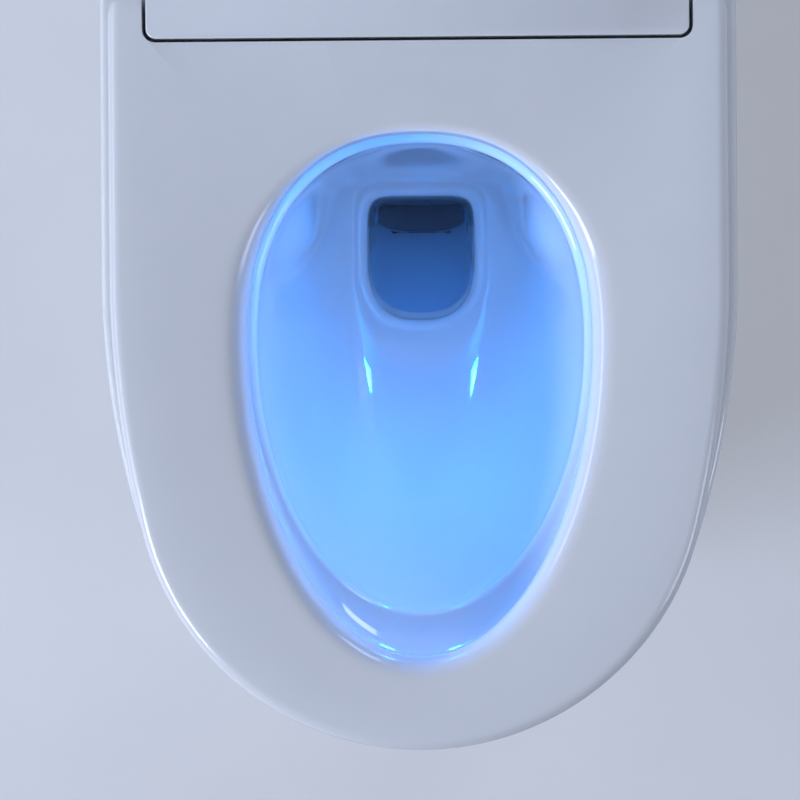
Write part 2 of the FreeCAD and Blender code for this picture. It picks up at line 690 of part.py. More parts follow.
# ---------------------------------------------------------------- the ceramic body
def skirt(inset):
    """The skirt's outside moved inwards by inset, as one smooth solid from floor to rim."""
    wires = []
    for width, setback, z in (
        (S.foot_width, S.foot_setback, 0),
        (S.waist_width, S.waist_setback, S.waist_height),
        (S.rim_width, S.rim_setback, S.rim_height),
    ):
        half = width / 2 - inset
        tip = setback - S.front_reach + inset
        back, corner = S.rear_reach - inset, S.back_corner - inset
        wires.append(outline(half, tip, back, half - S.nose_inset, corner, z))
    return loft(wires)


def opening(margin, z):
    """The seat opening grown by margin."""
    half = S.opening_width / 2 + margin
    return egg(half, S.opening_front + margin, S.opening_rear + margin, -S.opening_centre, z)


BASIN_SHARES = (0, 0.16, 0.38, 0.62, 0.83, 0.95, 1)


def basin(wall):
    """The basin from ledge to sump, as sections at shares of its depth. With a wall it is the outside."""
    top = S.bowl_margin - S.ledge_width + wall
    wires = []
    for share in BASIN_SHARES:
        fullness = (1 - share ** S.bowl_fullness) ** (1 / S.bowl_fullness)

        def between(sump, ledge):
            return sump + (ledge - sump) * fullness
        half = between(S.sump_width / 2 + wall, S.opening_width / 2 + top)
        front = between(S.sump_front + wall, S.opening_front + top)
        rear = between(S.sump_rear + wall, S.opening_rear + top)
        centre = between(-S.sump_centre, -S.opening_centre)
        z = LEDGE_Z + (SUMP_Z - LEDGE_Z) * share - wall * share
        wires.append(egg(half, front, rear, centre, z))
    return loft(wires)


def sump(wall):
    """The well under the basin, slightly tapered."""
    sections = ((0, SUMP_Z), (S.sump_taper, S.sump_floor - wall))
    return loft([
        egg(S.sump_width / 2 + wall - taper, S.sump_front + wall - taper, S.sump_rear + wall - taper,
            -S.sump_centre, z)
        for taper, z in sections
    ])


def trapway(radius, foot):
    """The trapway: back from the sump, up over the crest, down and forward to the outlet."""
    entry = S.sump_floor + S.trap_radius
    path = rounded_path([
        Vector(0, -S.sump_centre, entry),
        Vector(0, -S.trap_foot, entry),
        Vector(0, S.trap_crest_front, S.trap_crest),
        Vector(0, S.trap_back, S.trap_crest),
        Vector(0, S.trap_back, S.trap_return),
        Vector(0, 0, S.trap_return),
        Vector(0, 0, foot),
    ], S.trap_bend)
    return tube(path, radius)


def skirt_side(outside):
    """How far off centre the skirt's side is at its fixing screw."""
    ray = Part.makeLine(Vector(0, S.fixing_behind, S.fixing_height),
                        Vector(S.rim_width, S.fixing_behind, S.fixing_height))
    return ray.common(outside).BoundBox.XMax


def rounded_skirt():
    """The skirt's outside with its rim softened."""
    outside = skirt(0)
    return outside.makeFillet(S.rim_edge_round, top_chain(outside, S.rim_height))


def skirt_hollow():
    """The room inside the skirt, open to the floor."""
    width, wall = S.rim_width, S.ceramic_wall
    return skirt(wall).common(block(-width, width, -width, width, 0, S.rim_height - wall))


def wet_walls(rim_port, jet_port):
    """What stands inside the skirt: the chamber's wall, deck, basin, sump, trapway and spigots."""
    rim, wall = S.rim_height, S.ceramic_wall
    chamber_foot = LEDGE_Z - S.bowl_wall
    bay_half = S.deck_width / 2 + wall
    return [
        prism(opening(S.bowl_margin + S.bowl_wall, chamber_foot), rim - chamber_foot),
        block(-bay_half, bay_half, BAY_START, S.deck_end, DECK_Z - wall, rim),
        basin(S.bowl_wall),
        sump(S.bowl_wall),
        trapway(S.trap_radius + S.trap_wall, S.outlet_depth / 2),
        Part.makeCylinder(S.outlet_radius + S.outlet_wall, S.outlet_height),
        Part.makeCylinder(S.spigot_radius, S.jet_reach, jet_port, Vector(1, 0, 0)),
        Part.makeCylinder(S.spigot_radius, S.rim_port_start + S.rim_port_end, rim_port, Vector(0, 1, 0)),
    ]


def wet_voids(rim_port, jet_port):
    """Where water and waste go: chamber, nozzle bay, basin, sump, trapway, outlet and spigots."""
    bay_half = S.deck_width / 2
    return [
        prism(opening(S.bowl_margin, LEDGE_Z), S.ledge_depth + 1),
        block(-bay_half, bay_half, BAY_START, S.deck_end + 1, DECK_Z, S.rim_height + 1),
        basin(0),
        sump(0),
        trapway(S.trap_radius, -1),
        Part.makeCylinder(S.outlet_radius, S.outlet_depth + 1, Vector(0, 0, -1)),
        Part.makeCylinder(S.hose_bore, S.jet_reach, jet_port, Vector(1, 0, 0)),
        Part.makeCylinder(S.hose_bore, S.rim_port_start + S.rim_port_end + 1, rim_port, Vector(0, 1, 0)),
    ]


def dry_voids(surface):
    """The cavity's mouth behind the bay, the service notch and the holes for bolts and screws."""
    rim, wall = S.rim_height, S.ceramic_wall
    cavity_half, service_half = S.cavity_width / 2, S.service_width / 2
    voids = [
        block(-cavity_half, cavity_half, S.deck_end, S.cavity_end, rim - wall - 1, rim + 1),
        block(-service_half, service_half, S.rear_reach - wall - 1, S.rear_reach + 1, -1, S.service_height),
    ]
    for side in sides():
        out = Vector(side, 0, 0)
        start = Vector(side * (surface - S.cap_sink), S.fixing_behind, S.fixing_height)
        voids.append(Part.makeCylinder(S.cap_radius + S.fit_gap, S.foot_width, start, out))
        voids.append(Part.makeCylinder(S.side_screw + S.side_hole_gap, SCREW_REACH, start, -out))
        for along in (S.deck_bolt_front, S.deck_bolt_rear):
            bolt = Vector(side * S.deck_bolt_x, along, rim - wall - 1)
            voids.append(Part.makeCylinder(S.deck_bolt + S.deck_bolt_gap, wall + 2, bolt))
    return voids


def ceramic_body():
    """The one-piece ceramic. Returns how far off centre its side is at the fixing screws."""
    outside = rounded_skirt()
    surface = skirt_side(outside)
    rim_port = Vector(S.pump_x, -S.rim_port_start, S.rim_port_height)
    jet_port = Vector(0, -S.sump_centre, JET_Z)
    body = outside.cut(skirt_hollow()).fuse(wet_walls(rim_port, jet_port))
    for void in wet_voids(rim_port, jet_port) + dry_voids(surface):
        body = body.cut(void)
    pieces = sorted(body.Solids, key=lambda solid: solid.Volume)
    node("ceramic_body", shaped(pieces[-1]))
    return surface


SKIRT_SIDE = ceramic_body()


# ---------------------------------------------------------------- fixing to floor and outlet
def outlet_gasket():
    inner = "outlet_radius + outlet_wall + gasket_gap"
    ring = rod("z", f"{inner} + gasket_width", (0, 0, 0), "gasket_height")
    node("outlet_gasket", cut(ring, rod("z", inner, (0, 0, 0), "gasket_height")))


def floor_brackets():
    """A pair of angles on the floor, each with two floor bolt holes and the side screw's hole."""
    outer = "(foot_width / 2 - ceramic_wall - bracket_gap)"
    y = ("fixing_behind - bracket_length / 2", "fixing_behind + bracket_length / 2")
    angles = []
    for side in sides():
        ends = (f"{outer} - bracket_foot", outer) if side > 0 else (f"-{outer}", f"bracket_foot - {outer}")
        web = (f"{outer} - bracket_plate", outer) if side > 0 else (f"-{outer}", f"bracket_plate - {outer}")
        foot = box(ends, y, (0, "bracket_plate"))
        wall = box(web, y, ("bracket_plate", "bracket_height"))
        middle = f"{side} * ({outer} - bracket_plate - (bracket_foot - bracket_plate) / 2)"
        places = [(middle, f"fixing_behind {sign} bracket_hole_pitch / 2", 0) for sign in "+-"]
        holes = [rod("z", "bracket_hole", place, "bracket_plate") for place in places]
        screw_hole = rod("x", "side_screw + fit_gap", (web[0], "fixing_behind", "fixing_height"),
                         "bracket_plate")
        angles.append(cut(fuse(foot, wall), *holes, screw_hole))
    node("floor_brackets", group(*angles))


def side_screws():
    """Screws from the skirt's sides into the floor brackets, and the caps over them."""
    inner = S.foot_width / 2 - S.ceramic_wall - S.bracket_gap - S.bracket_plate - S.side_screw_grip
    head_seat = SKIRT_SIDE - S.cap_sink
    screws, caps = [], []
    for side in sides():
        out = Vector(side, 0, 0)
        start = Vector(side * inner, S.fixing_behind, S.fixing_height)
        screws.append(Part.makeCylinder(S.side_screw, head_seat - inner, start, out))
        seat = Vector(side * head_seat, S.fixing_behind, S.fixing_height)
        cap = Part.makeCylinder(S.cap_radius, S.cap_height, seat, out)
        proud = head_seat + S.cap_height
        rim = [edge for edge in cap.Edges if abs(abs(edge.CenterOfMass.x) - proud) < 0.01]
        caps.append(cap.makeFillet(S.cap_round, rim))
    node("side_screws", shaped(Part.makeCompound(screws)))
    node("screw_caps", shaped(Part.makeCompound(caps)))


outlet_gasket()
floor_brackets()
side_screws()


# ---------------------------------------------------------------- the heated seat
def seat_outline(inset, back, corner, z):
    half = S.seat_width / 2 - inset
    return outline(half, inset - S.front_reach, back, half - S.seat_nose_inset, corner, z)


def bumpers(height, radius, top, places):
    return Part.makeCompound([
        Part.makeCylinder(radius, height, Vector(x, y, top - height)) for x, y in places
    ])


def bumper_places():
    places = []
    for side in sides():
        places.append((side * S.bumper_rear_x, -S.bumper_rear_ahead))
        places.append((side * S.bumper_front_x, -S.bumper_front_ahead))
    return places


def seat_shell():
    """The top shell with a notch for the hinge cover, and the two arms that carry it at the hinge."""
    knuckle = S.seat_height / 2
    back = S.hinge_behind + knuckle
    shell = prism(seat_outline(0, back, S.cover_corner, SEAT_LOW), S.seat_height)
    shell = shell.makeFillet(S.seat_edge_round, top_chain(shell, SEAT_TOP))
    hole = prism(opening(0, SEAT_LOW - 1), S.seat_height + 2)
    shell = shell.cut(hole)
    lip = [edge for edge in top_chain(shell, SEAT_TOP) if edge.BoundBox.XMax < S.opening_width / 2 + 1]
    shell = shell.makeFillet(S.seat_lip_round, lip)

    width = S.rim_width
    notch = block(-ARM_INNER, ARM_INNER, S.cover_front - S.cover_gap, width, SEAT_LOW - 1, SEAT_TOP + 1)
    notch = notch.makeFillet(S.cover_corner + S.cover_gap, [
        edge for edge in notch.Edges if upright(edge) and edge.BoundBox.YMax < S.cover_front
    ])
    behind_axis = block(-width, width, S.hinge_behind, width, SEAT_LOW - 1, SEAT_TOP + 1)
    round_end = Part.makeCylinder(knuckle, 2 * width, Vector(-width, HINGE.y, HINGE.z), Vector(1, 0, 0))
    cuts = [notch, behind_axis.cut(round_end)]
    for side in sides():
        near, far = sorted((side * ARM_OUTER, side * width))
        cuts.append(block(near, far, S.lid_pocket_front, width, SEAT_LOW - 1, SEAT_TOP + 1))
    bores = [
        Part.makeCylinder(S.shaft_radius + gap, width, Vector(0, HINGE.y, HINGE.z), Vector(side, 0, 0))
        for side, gap in ((-1, S.shaft_gap), (1, S.fit_gap))
    ]
    for void in cuts + bores + [seat_cavity()]:
        shell = shell.cut(void)
    arm_zone = block(-width, width, S.lid_pocket_front, width, SEAT_LOW - 1, SEAT_TOP + 1)
    node("seat_shell", shaped(shell.cut(arm_zone)))
    node("seat_arms", shaped(shell.common(arm_zone)))


def seat_cavity():
    """The hollow under the seat's top shell, rounded as the shell is."""
    wall = S.seat_wall
    height = S.seat_height - wall + 1
    cavity = prism(seat_outline(wall, S.seat_hollow_end, S.cover_corner, SEAT_LOW - 1), height)
    cavity = cavity.makeFillet(S.seat_edge_round - wall, top_chain(cavity, SEAT_TOP - wall))
    cavity = cavity.cut(prism(opening(wall, SEAT_LOW - 1), height))
    inner = S.opening_width / 2 + wall
    lip = [edge for edge in top_chain(cavity, SEAT_TOP - wall) if edge.BoundBox.XMax < inner + 1]
    return cavity.makeFillet(S.seat_lip_round - wall, lip)


def seat_base():
    inset = S.seat_wall + S.fit_gap
    rim = seat_outline(inset, S.seat_hollow_end - S.fit_gap, S.cover_corner, SEAT_LOW)
    plate = prism(rim, S.seat_base_plate)
    plate = plate.cut(prism(opening(inset, SEAT_LOW - 1), S.seat_base_plate + 2))
    node("seat_base", shaped(plate))
    rest = S.rim_height + S.bumper_gap
    node("seat_bumpers", shaped(bumpers(SEAT_LOW - rest, S.bumper_radius, SEAT_LOW, bumper_places())))


def foil_level():
    return SEAT_TOP - S.seat_wall - S.fit_gap - S.foil_thickness


def heating_foil():
    z = foil_level()
    rim = seat_outline(S.foil_inset, S.seat_hollow_end - S.foil_inset, S.cover_corner, z)
    foil = prism(rim, S.foil_thickness)
    hole = prism(opening(S.seat_lip_round + S.foil_margin, z - 1), S.foil_thickness + 2)
    node("heating_foil", shaped(foil.cut(hole)))


def heating_wire():
    """One wire that runs round the seat, turns back at the hinge and returns beside itself."""
    z = foil_level() - S.fit_gap - S.wire_radius
    end = S.seat_hollow_end - S.foil_inset - S.wire_pitch

    def run(inset):
        half = S.seat_width / 2 - inset
        right = half_front(half, inset - S.front_reach, half - S.seat_nose_inset, z)
        right.append(Part.LineSegment(Vector(half, -S.flank_reach, z), Vector(half, end, z)).toShape())
        return right + mirrored(right)

    outer = S.seat_width / 2 - S.wire_inset
    turn = arc((outer - S.wire_pitch / 2, end), S.wire_pitch / 2, 0, 180, z)
    edges = run(S.wire_inset) + [turn] + run(S.wire_inset + S.wire_pitch)
    path = Part.Wire(Part.__sortEdges__(edges))
    start = Vector(-outer, end, z)
    ring = Part.Wire([Part.makeCircle(S.wire_radius, start, Vector(0, 1, 0))])
    node("heating_wire", shaped(path.makePipeShell([ring], True, True)))


seat_shell()
seat_base()
heating_foil()
heating_wire()


# ---------------------------------------------------------------- the lid, built closed and then opened
OPENED = Placement(Vector(), Rotation(Vector(1, 0, 0), -S.lid_open_angle), HINGE)


def lid_shell():
    """The lid's top shell, and the two arms under it that carry it at the hinge."""
    shell = prism(seat_outline(0, LID_BACK, S.lid_corner, LID_LOW), S.lid_height)
    shell = shell.makeFillet(S.lid_edge_round, top_chain(shell, LID_TOP))
    low = [edge for edge in shell.Edges if edge.BoundBox.ZMax < LID_LOW + 0.01]
    shell = shell.makeFillet(S.lid_low_round, low)
    wall = S.lid_wall
    cavity = prism(seat_outline(wall, S.lid_hollow_end, S.lid_corner, LID_LOW - 1), S.lid_height - wall + 1)
    cavity = cavity.makeFillet(S.lid_edge_round - wall, top_chain(cavity, LID_TOP - wall))
    arms, bores = [], []
    arm_width = S.seat_width / 2 - LID_ARM_INNER
    for side, gap in ((-1, S.fit_gap), (1, S.shaft_gap)):
        inner = Vector(side * LID_ARM_INNER, HINGE.y, HINGE.z)
        arms.append(Part.makeCylinder(S.lid_arm_radius, arm_width, inner, Vector(side, 0, 0)))
        near, far = sorted((side * LID_ARM_INNER, side * S.seat_width / 2))
        web_back = HINGE.y + S.lid_arm_radius - S.lid_arm_setback
        arms.append(block(near, far, HINGE.y - S.lid_arm_radius, web_back,
                          HINGE.z, LID_LOW + S.lid_low_round))
        bore_end = S.seat_width / 2 - S.shaft_inset + S.fit_gap - LID_ARM_INNER
        bores.append(Part.makeCylinder(S.shaft_radius + gap, bore_end + 1, inner - Vector(side, 0, 0),
                                       Vector(side, 0, 0)))
    shell = shell.fuse(arms)
    for void in bores + [cavity]:
        shell = shell.cut(void)
    arm_zone = block(-S.seat_width, S.seat_width, 0, 2 * LID_BACK, HINGE.z - S.lid_arm_radius - 1, LID_LOW)
    node("lid_shell", shaped(shell.cut(arm_zone).removeSplitter(), OPENED))
    node("lid_arms", shaped(shell.common(arm_zone).removeSplitter(), OPENED))


def lid_liner():
    inset = S.lid_wall + S.fit_gap
    plate = prism(seat_outline(inset, S.lid_hollow_end - S.fit_gap, S.lid_corner, LID_LOW), S.liner_plate)
    node("lid_liner", shaped(plate, OPENED))
    height = S.lid_gap - S.bumper_gap
    node("lid_bumpers", shaped(bumpers(height, S.bumper_radius, LID_LOW, bumper_places()), OPENED))


lid_shell()
lid_liner()


# ---------------------------------------------------------------- the hinge
def hinge_shafts():
    """The seat's shaft turns in the right damper and the lid's in the left one."""
    length = "seat_width / 2 - shaft_inset - cover_width / 2 + cover_wall + damper_inset + shaft_entry"
    inner = "cover_width / 2 - cover_wall - damper_inset - shaft_entry"
    node("seat_shaft", rod("x", "shaft_radius", (inner, "hinge_behind", HINGE_Z), length))
    outer = "-(seat_width / 2 - shaft_inset)"
    node("lid_shaft", rod("x", "shaft_radius", (outer, "hinge_behind", HINGE_Z), length))


def hinge_dampers():
    """Two soft-close dampers under the hinge cover, each with a blind bore for its shaft."""
    end = "(cover_width / 2 - cover_wall - damper_inset)"
    dampers = []
    for side in sides():
        start = f"{end} - damper_length" if side > 0 else f"-{end}"
        bore_start = f"{end} - shaft_entry - shaft_gap" if side > 0 else f"-{end}"
        damper = rod("x", "damper_radius", (start, "hinge_behind", HINGE_Z), "damper_length")
        bore = rod("x", "shaft_radius + shaft_gap", (bore_start, "hinge_behind", HINGE_Z),
                   "shaft_entry + shaft_gap")
        dampers.append(cut(damper, bore))
    node("hinge_dampers", group(*dampers))


def hinge_cover():
    """An open-bottomed shell between the seat arms, rounded behind so that the lid clears it."""
    body = DOC.addObject("PartDesign::Body", "hinge_cover")
    foot = rectangle(sketch(body, "XY_Plane", "-cover_width / 2", "cover_front", BASE_TOP),
                     "cover_width", "cover_end - cover_front")
    pad(body, foot, f"rim_height + seat_lift + seat_height - {BASE_TOP}")
    fillet(body, "cover_corner", lambda edge: upright(edge) and edge.BoundBox.YMax < S.cover_end - 1)
    fillet(body, "cover_back_round",
           lambda edge: edge.BoundBox.ZMin > SEAT_TOP - 0.01 and edge.BoundBox.YMin > S.cover_end - 0.01)
    base = body.Tip
    floor = [
        f"Face{number}" for number, face in enumerate(base.Shape.Faces, 1)
        if face.BoundBox.ZMax < S.rim_height + S.base_plate + 0.01
    ]
    shell = body.newObject("PartDesign::Thickness", "Shell")
    shell.Base = (base, floor)
    shell.Join = 1
    shell.Reversed = True
    bind(shell, "Value", "cover_wall")
    DOC.recompute()
    hole = circle(sketch(body, "YZ_Plane", "-cover_width / 2 - 1", "hinge_behind", HINGE_Z),
                  "shaft_radius + cover_hole_gap")
    pocket(body, hole, "cover_width + 2", True)
    fillet(body, "cover_edge_round", lambda edge: (
        edge.BoundBox.ZMin > SEAT_TOP - 0.01 and edge.BoundBox.YMax < S.cover_end - S.cover_back_round + 0.5
    ))
    node("hinge_cover", body)


# ---------------------------------------------------------------- the unit's base and housing
def unit_base():
    """The plate that carries the unit, with saddles, posts and the holes for what passes through."""
    plate = box((f"-{HOUSING_SIDE}", HOUSING_SIDE), ("cover_front", "housing_end"), (RIM, BASE_TOP))
    tongue = box(("-guard_width / 2", "guard_width / 2"), ("guard_front", "cover_front"), (RIM, BASE_TOP))
    solids, holes = [plate, tongue], []
    end = "(cover_width / 2 - cover_wall - damper_inset)"
    for side in sides():
        for inset in ("saddle_inset", "(damper_length - saddle_inset)"):
            middle = f"{side} * ({end} - {inset})"
            saddle = box((f"{middle} - saddle_length / 2", f"{middle} + saddle_length / 2"),
                         ("hinge_behind - saddle_depth / 2", "hinge_behind + saddle_depth / 2"),
                         (BASE_TOP, HINGE_Z))
            solids.append(saddle)
        low = (f"-{end} - 1" if side < 0 else f"{end} - damper_length", "hinge_behind", HINGE_Z)
        holes.append(rod("x", "damper_radius + fit_gap", low, "damper_length + 1"))
        edge = f"{side} * duct_x"
        gap = "duct_width / 2 + fit_gap"
        holes.append(box((f"{edge} - ({gap})", f"{edge} + {gap}"),
                         ("riser_front - fit_gap", "riser_front + riser_depth + fit_gap"),
                         (f"{RIM} - 1", f"{BASE_TOP} + 1")))
        under = f"{RIM} - 1"
        holes.append(rod("z", "fan_inlet", (f"{side} * fan_x", "fan_behind", under), "base_plate + 2"))
        for along in ("deck_bolt_front", "deck_bolt_rear"):
            place = (f"{side} * deck_bolt_x", along, under)
            holes.append(rod("z", "deck_bolt + deck_bolt_gap", place, "base_plate + 2"))
        for along in ("board_front + post_front_inset", "board_front + board_length - post_inset"):
            across = f"-board_x + {side} * (board_width / 2 - post_inset)"
            solids.append(rod("z", "post_radius", (across, along, BASE_TOP), "board_lift"))
    wand_end = "wand_tip_behind + (pinion_behind + wand_travel + rack_margin) * cos(wand_tilt)"
    holes.append(box(("-wand_window / 2", "wand_window / 2"),
                     ("housing_front + housing_wall + well_gap", f"{wand_end} + well_margin"),
                     (f"{RIM} - 1", f"{BASE_TOP} + 1")))
    holes.append(rod("z", "hose_radius + hose_hole_gap", ("-recess_x", VALVE_Y, f"{RIM} - 1"),
                     "base_plate + 2"))
    node("unit_base", cut(fuse(*solids), *holes))


VALVE_Y = "(housing_end - recess_depth - housing_wall - valve_gap - valve_length / 2)"


def rear_housing():
    """The rear cover: a leaning front wall, soft edges, two connection recesses behind."""
    body = DOC.addObject("PartDesign::Body", "rear_housing")
    made = sketch(body, "YZ_Plane", "-housing_width / 2", 0, BASE_TOP)
    leaning_profile(made, "0")
    pad(body, made, "housing_width")
    inside = sketch(body, "YZ_Plane", "housing_wall - housing_width / 2", 0, BASE_TOP)
    leaning_profile(inside, "housing_wall")
    pocket(body, inside, "housing_width - 2 * housing_wall", True)

    def along_shell(height):
        """Picks a shell's edges: those around its top and those that stand at its corners."""
        level = S.rim_height + S.base_plate + height
        return lambda edge: abs(edge.BoundBox.ZMax - level) < 0.01 and (
            edge.BoundBox.ZLength < 0.01 or edge.BoundBox.ZLength > height - 0.01
        )
    fillet(body, "housing_round - housing_wall", along_shell(S.housing_height - S.housing_wall))
    fillet(body, "housing_round", along_shell(S.housing_height))
    for sign in "-+":
        walls = rectangle(
            sketch(body, "XY_Plane", f"{sign}recess_x - recess_width / 2 - housing_wall",
                   "housing_end - recess_depth - housing_wall", BASE_TOP),
            "recess_width + 2 * housing_wall", "recess_depth + housing_wall - housing_wall / 2")
        pad(body, walls, "recess_height + housing_wall")
        space = rectangle(
            sketch(body, "XY_Plane", f"{sign}recess_x - recess_width / 2",
                   "housing_end - recess_depth", f"{BASE_TOP} - 1"),
            "recess_width", "recess_depth + 1")
        pocket(body, space, "recess_height + 1", True)
    for x, radius in (("-recess_x", "inlet_body"), ("recess_x", "gland_radius")):
        hole = circle(sketch(body, "XZ_Plane", x, RECESS_WALL, CONNECTION_Z), f"{radius} + fit_gap")
        pocket(body, hole, "housing_wall + 1", True)
    for radius, behind in (("plunger_radius + plunger_hole_gap", "knob_behind"),
                           ("button_radius + button_gap", "button_behind")):
        hole = circle(sketch(body, "YZ_Plane", HOUSING_SIDE, behind, CONTROL_Z), radius)
        pocket(body, hole, "housing_wall + 1")
    window = rectangle(sketch(body, "XY_Plane", "-display_width / 2", "display_behind - display_depth / 2",
                              f"{BASE_TOP} + housing_height"), "display_width", "display_depth")
    pocket(body, window, "housing_wall + 1")
    node("rear_housing", body)


def leaning_profile(made, inset):
    """The housing's side view, moved inwards: straight back and top, and a front wall that leans back."""
    foot, back, high = S.housing_front, S.housing_end, S.housing_height
    brow = foot + S.housing_lean
    four_sides(made, [(foot, 0), (back, 0), (back, high), (brow, high)], (LEVEL, UPRIGHT, LEVEL, None))
    made.addConstraint(Sketcher.Constraint("PointOnObject", 0, 1, -1))
    dimension(made, "foot", Sketcher.Constraint("DistanceX", -1, 1, 0, 1, foot), f"housing_front + {inset}")
    dimension(made, "back", Sketcher.Constraint("DistanceX", -1, 1, 0, 2, back), f"housing_end - {inset}")
    dimension(made, "high", Sketcher.Constraint("DistanceY", 1, 1, 1, 2, high), f"housing_height - {inset}")
    dimension(made, "brow", Sketcher.Constraint("DistanceX", -1, 1, 2, 2, brow),
              f"housing_front + {inset} + housing_lean * (housing_height - {inset}) / housing_height")


def display_window():
    """A clear plate let into the housing's top, held from below by its flange."""
    top = f"({BASE_TOP} + housing_height)"
    front, back = "display_behind - display_depth / 2", "display_behind + display_depth / 2"
    plate = box(("fit_gap - display_width / 2", "display_width / 2 - fit_gap"),
                (f"{front} + fit_gap", f"{back} - fit_gap"), (f"{top} - display_plate", top))
    flange = box(("-display_width / 2 - display_flange", "display_width / 2 + display_flange"),
                 (f"{front} - display_flange", f"{back} + display_flange"),
                 (f"{top} - display_plate", f"{top} - housing_wall"))
    node("display_window", fuse(plate, flange))


def deck_bolts():
    """Bolts from the unit's base through the ceramic, with their nuts under it, in one node."""
    bolts, nuts = [], []
    for side in sides():
        for along in ("deck_bolt_front", "deck_bolt_rear"):
            x = f"{side} * deck_bolt_x"
            low = "(rim_height - ceramic_wall - deck_nut_height - 1)"
            head = rod("z", "deck_bolt_head", (x, along, BASE_TOP), "deck_bolt_head_height")
            shank = rod("z", "deck_bolt", (x, along, low), f"{BASE_TOP} - {low}")
            bolts.append(fuse(head, shank))
            nut = DOC.addObject("Part::Prism", "nut")
            nut.Polygon = 6
            bind(nut, "Circumradius", "deck_bolt_head")
            bind(nut, "Height", "deck_nut_height")
            at(nut, x, along, "rim_height - ceramic_wall - deck_nut_height")
            hole = rod("z", "deck_bolt + fit_gap", (x, along, low), "deck_nut_height + 2")
            nuts.append(cut(nut, hole))
    node("deck_bolts", group(*bolts, *nuts))


hinge_shafts()
hinge_dampers()
hinge_cover()
unit_base()
rear_housing()
display_window()
deck_bolts()


# ---------------------------------------------------------------- the nozzle bay
def splash_guard():
    """The plate in front of the nozzle bay, with windows for wands, air and night lights."""
    y = ("guard_front", "guard_front + guard_plate")
    through = ("guard_front - 1", "guard_front + guard_plate + 1")
    plate = box(("-guard_width / 2", "guard_width / 2"), y, (DECK, RIM))
    windows = [box(("-wand_window / 2", "wand_window / 2"), through,
                   (f"{DECK} + wand_window_low", f"{DECK} + wand_window_high"))]
    lenses, boards = [], []
    for side in sides():
        air = (f"{DECK} + duct_low + duct_wall", f"{DECK} + duct_low + duct_height - duct_wall")
        windows.append(box((f"{side} * duct_x - duct_width / 2 + duct_wall",
                            f"{side} * duct_x + duct_width / 2 - duct_wall"), through, air))
        ends = ("lens_inner", "lens_outer") if side > 0 else ("-lens_outer", "-lens_inner")
        level = (f"{DECK} + lens_low", f"{DECK} + lens_high")
        windows.append(box(ends, through, level))
        lenses.append(box((f"{ends[0]} + fit_gap", f"{ends[1]} - fit_gap"), y,
                          (f"{level[0]} + fit_gap", f"{level[1]} - fit_gap")))
        boards.append(box(ends, (f"{y[1]} + fit_gap", f"{y[1]} + fit_gap + light_board"), level))
    node("splash_guard", cut(plate, *windows))
    node("night_light_lenses", group(*lenses))
    node("night_light_boards", group(*boards))


def wand_frame(x):
    """The placement of a wand: its own +Y runs back along it and its +Z is square to it."""
    tip = Vector(x, S.wand_tip_behind, DECK_Z + S.wand_tip_above)
    return Placement(tip, Rotation(Vector(1, 0, 0), S.wand_tilt))


def rack_pitch():
    """The rack's pitch line below the wand's axis."""
    return S.wand_radius + S.rack_back + S.gear_root * S.gear_module


def wand_length():
    return S.pinion_behind + S.wand_travel + S.rack_margin


def rack():
    """Straight-sided teeth under the wand, one gap centred on the pinion at rest."""
    pitch = math.pi * S.gear_module
    slope = math.tan(math.radians(S.gear_angle))
    half = (pitch / 2 - S.gear_slack) / 2
    root, tip = S.gear_root * S.gear_module, S.gear_module
    level = -rack_pitch()
    start, end = S.pinion_behind - S.rack_margin, wand_length()
    line = [Vector(0, start, level + root)]
    first, last = math.ceil(-S.rack_margin / pitch), int((end - S.pinion_behind) / pitch)
    for number in range(first, last):
        middle = S.pinion_behind + (number + 0.5) * pitch
        line += [
            Vector(0, middle - half - root * slope, level + root),
            Vector(0, middle - half + tip * slope, level - tip),
            Vector(0, middle + half - tip * slope, level - tip),
            Vector(0, middle + half + root * slope, level + root),
        ]
    top = -S.wand_radius / 2
    line += [Vector(0, end, level + root), Vector(0, end, top), Vector(0, start, top), line[0]]
    teeth = Part.Face(Part.makePolygon(line)).extrude(Vector(S.gear_width, 0, 0))
    teeth.translate(Vector(-S.gear_width / 2, 0, 0))
    return teeth


def wand(name, x):
    """A wash wand: tube, rounded tip with spray holes on top, and a rack underneath."""
    back = Vector(0, 1, 0)
    length = wand_length()
    tip = Part.makeCylinder(S.tip_radius, S.tip_length, Vector(), back)
    nose = [edge for edge in tip.Edges if edge.BoundBox.YMax < 0.01]
    tip = tip.makeFillet(S.tip_radius / 2, nose)
    bar_start = S.tip_length / 2
    bar = Part.makeCylinder(S.wand_radius, length - bar_start, Vector(0, bar_start, 0), back)
    solid = tip.fuse([bar, rack()])
    bore_start = S.tip_radius / 2
    solid = solid.cut(Part.makeCylinder(S.wand_bore, length, Vector(0, bore_start, 0), back))
    for number in range(int(S.spray_count)):
        place = Vector(0, S.tip_radius + number * S.spray_pitch, 0)
        solid = solid.cut(Part.makeCylinder(S.spray_hole, 2 * S.tip_radius, place))
    node(name, shaped(solid, wand_frame(x)))


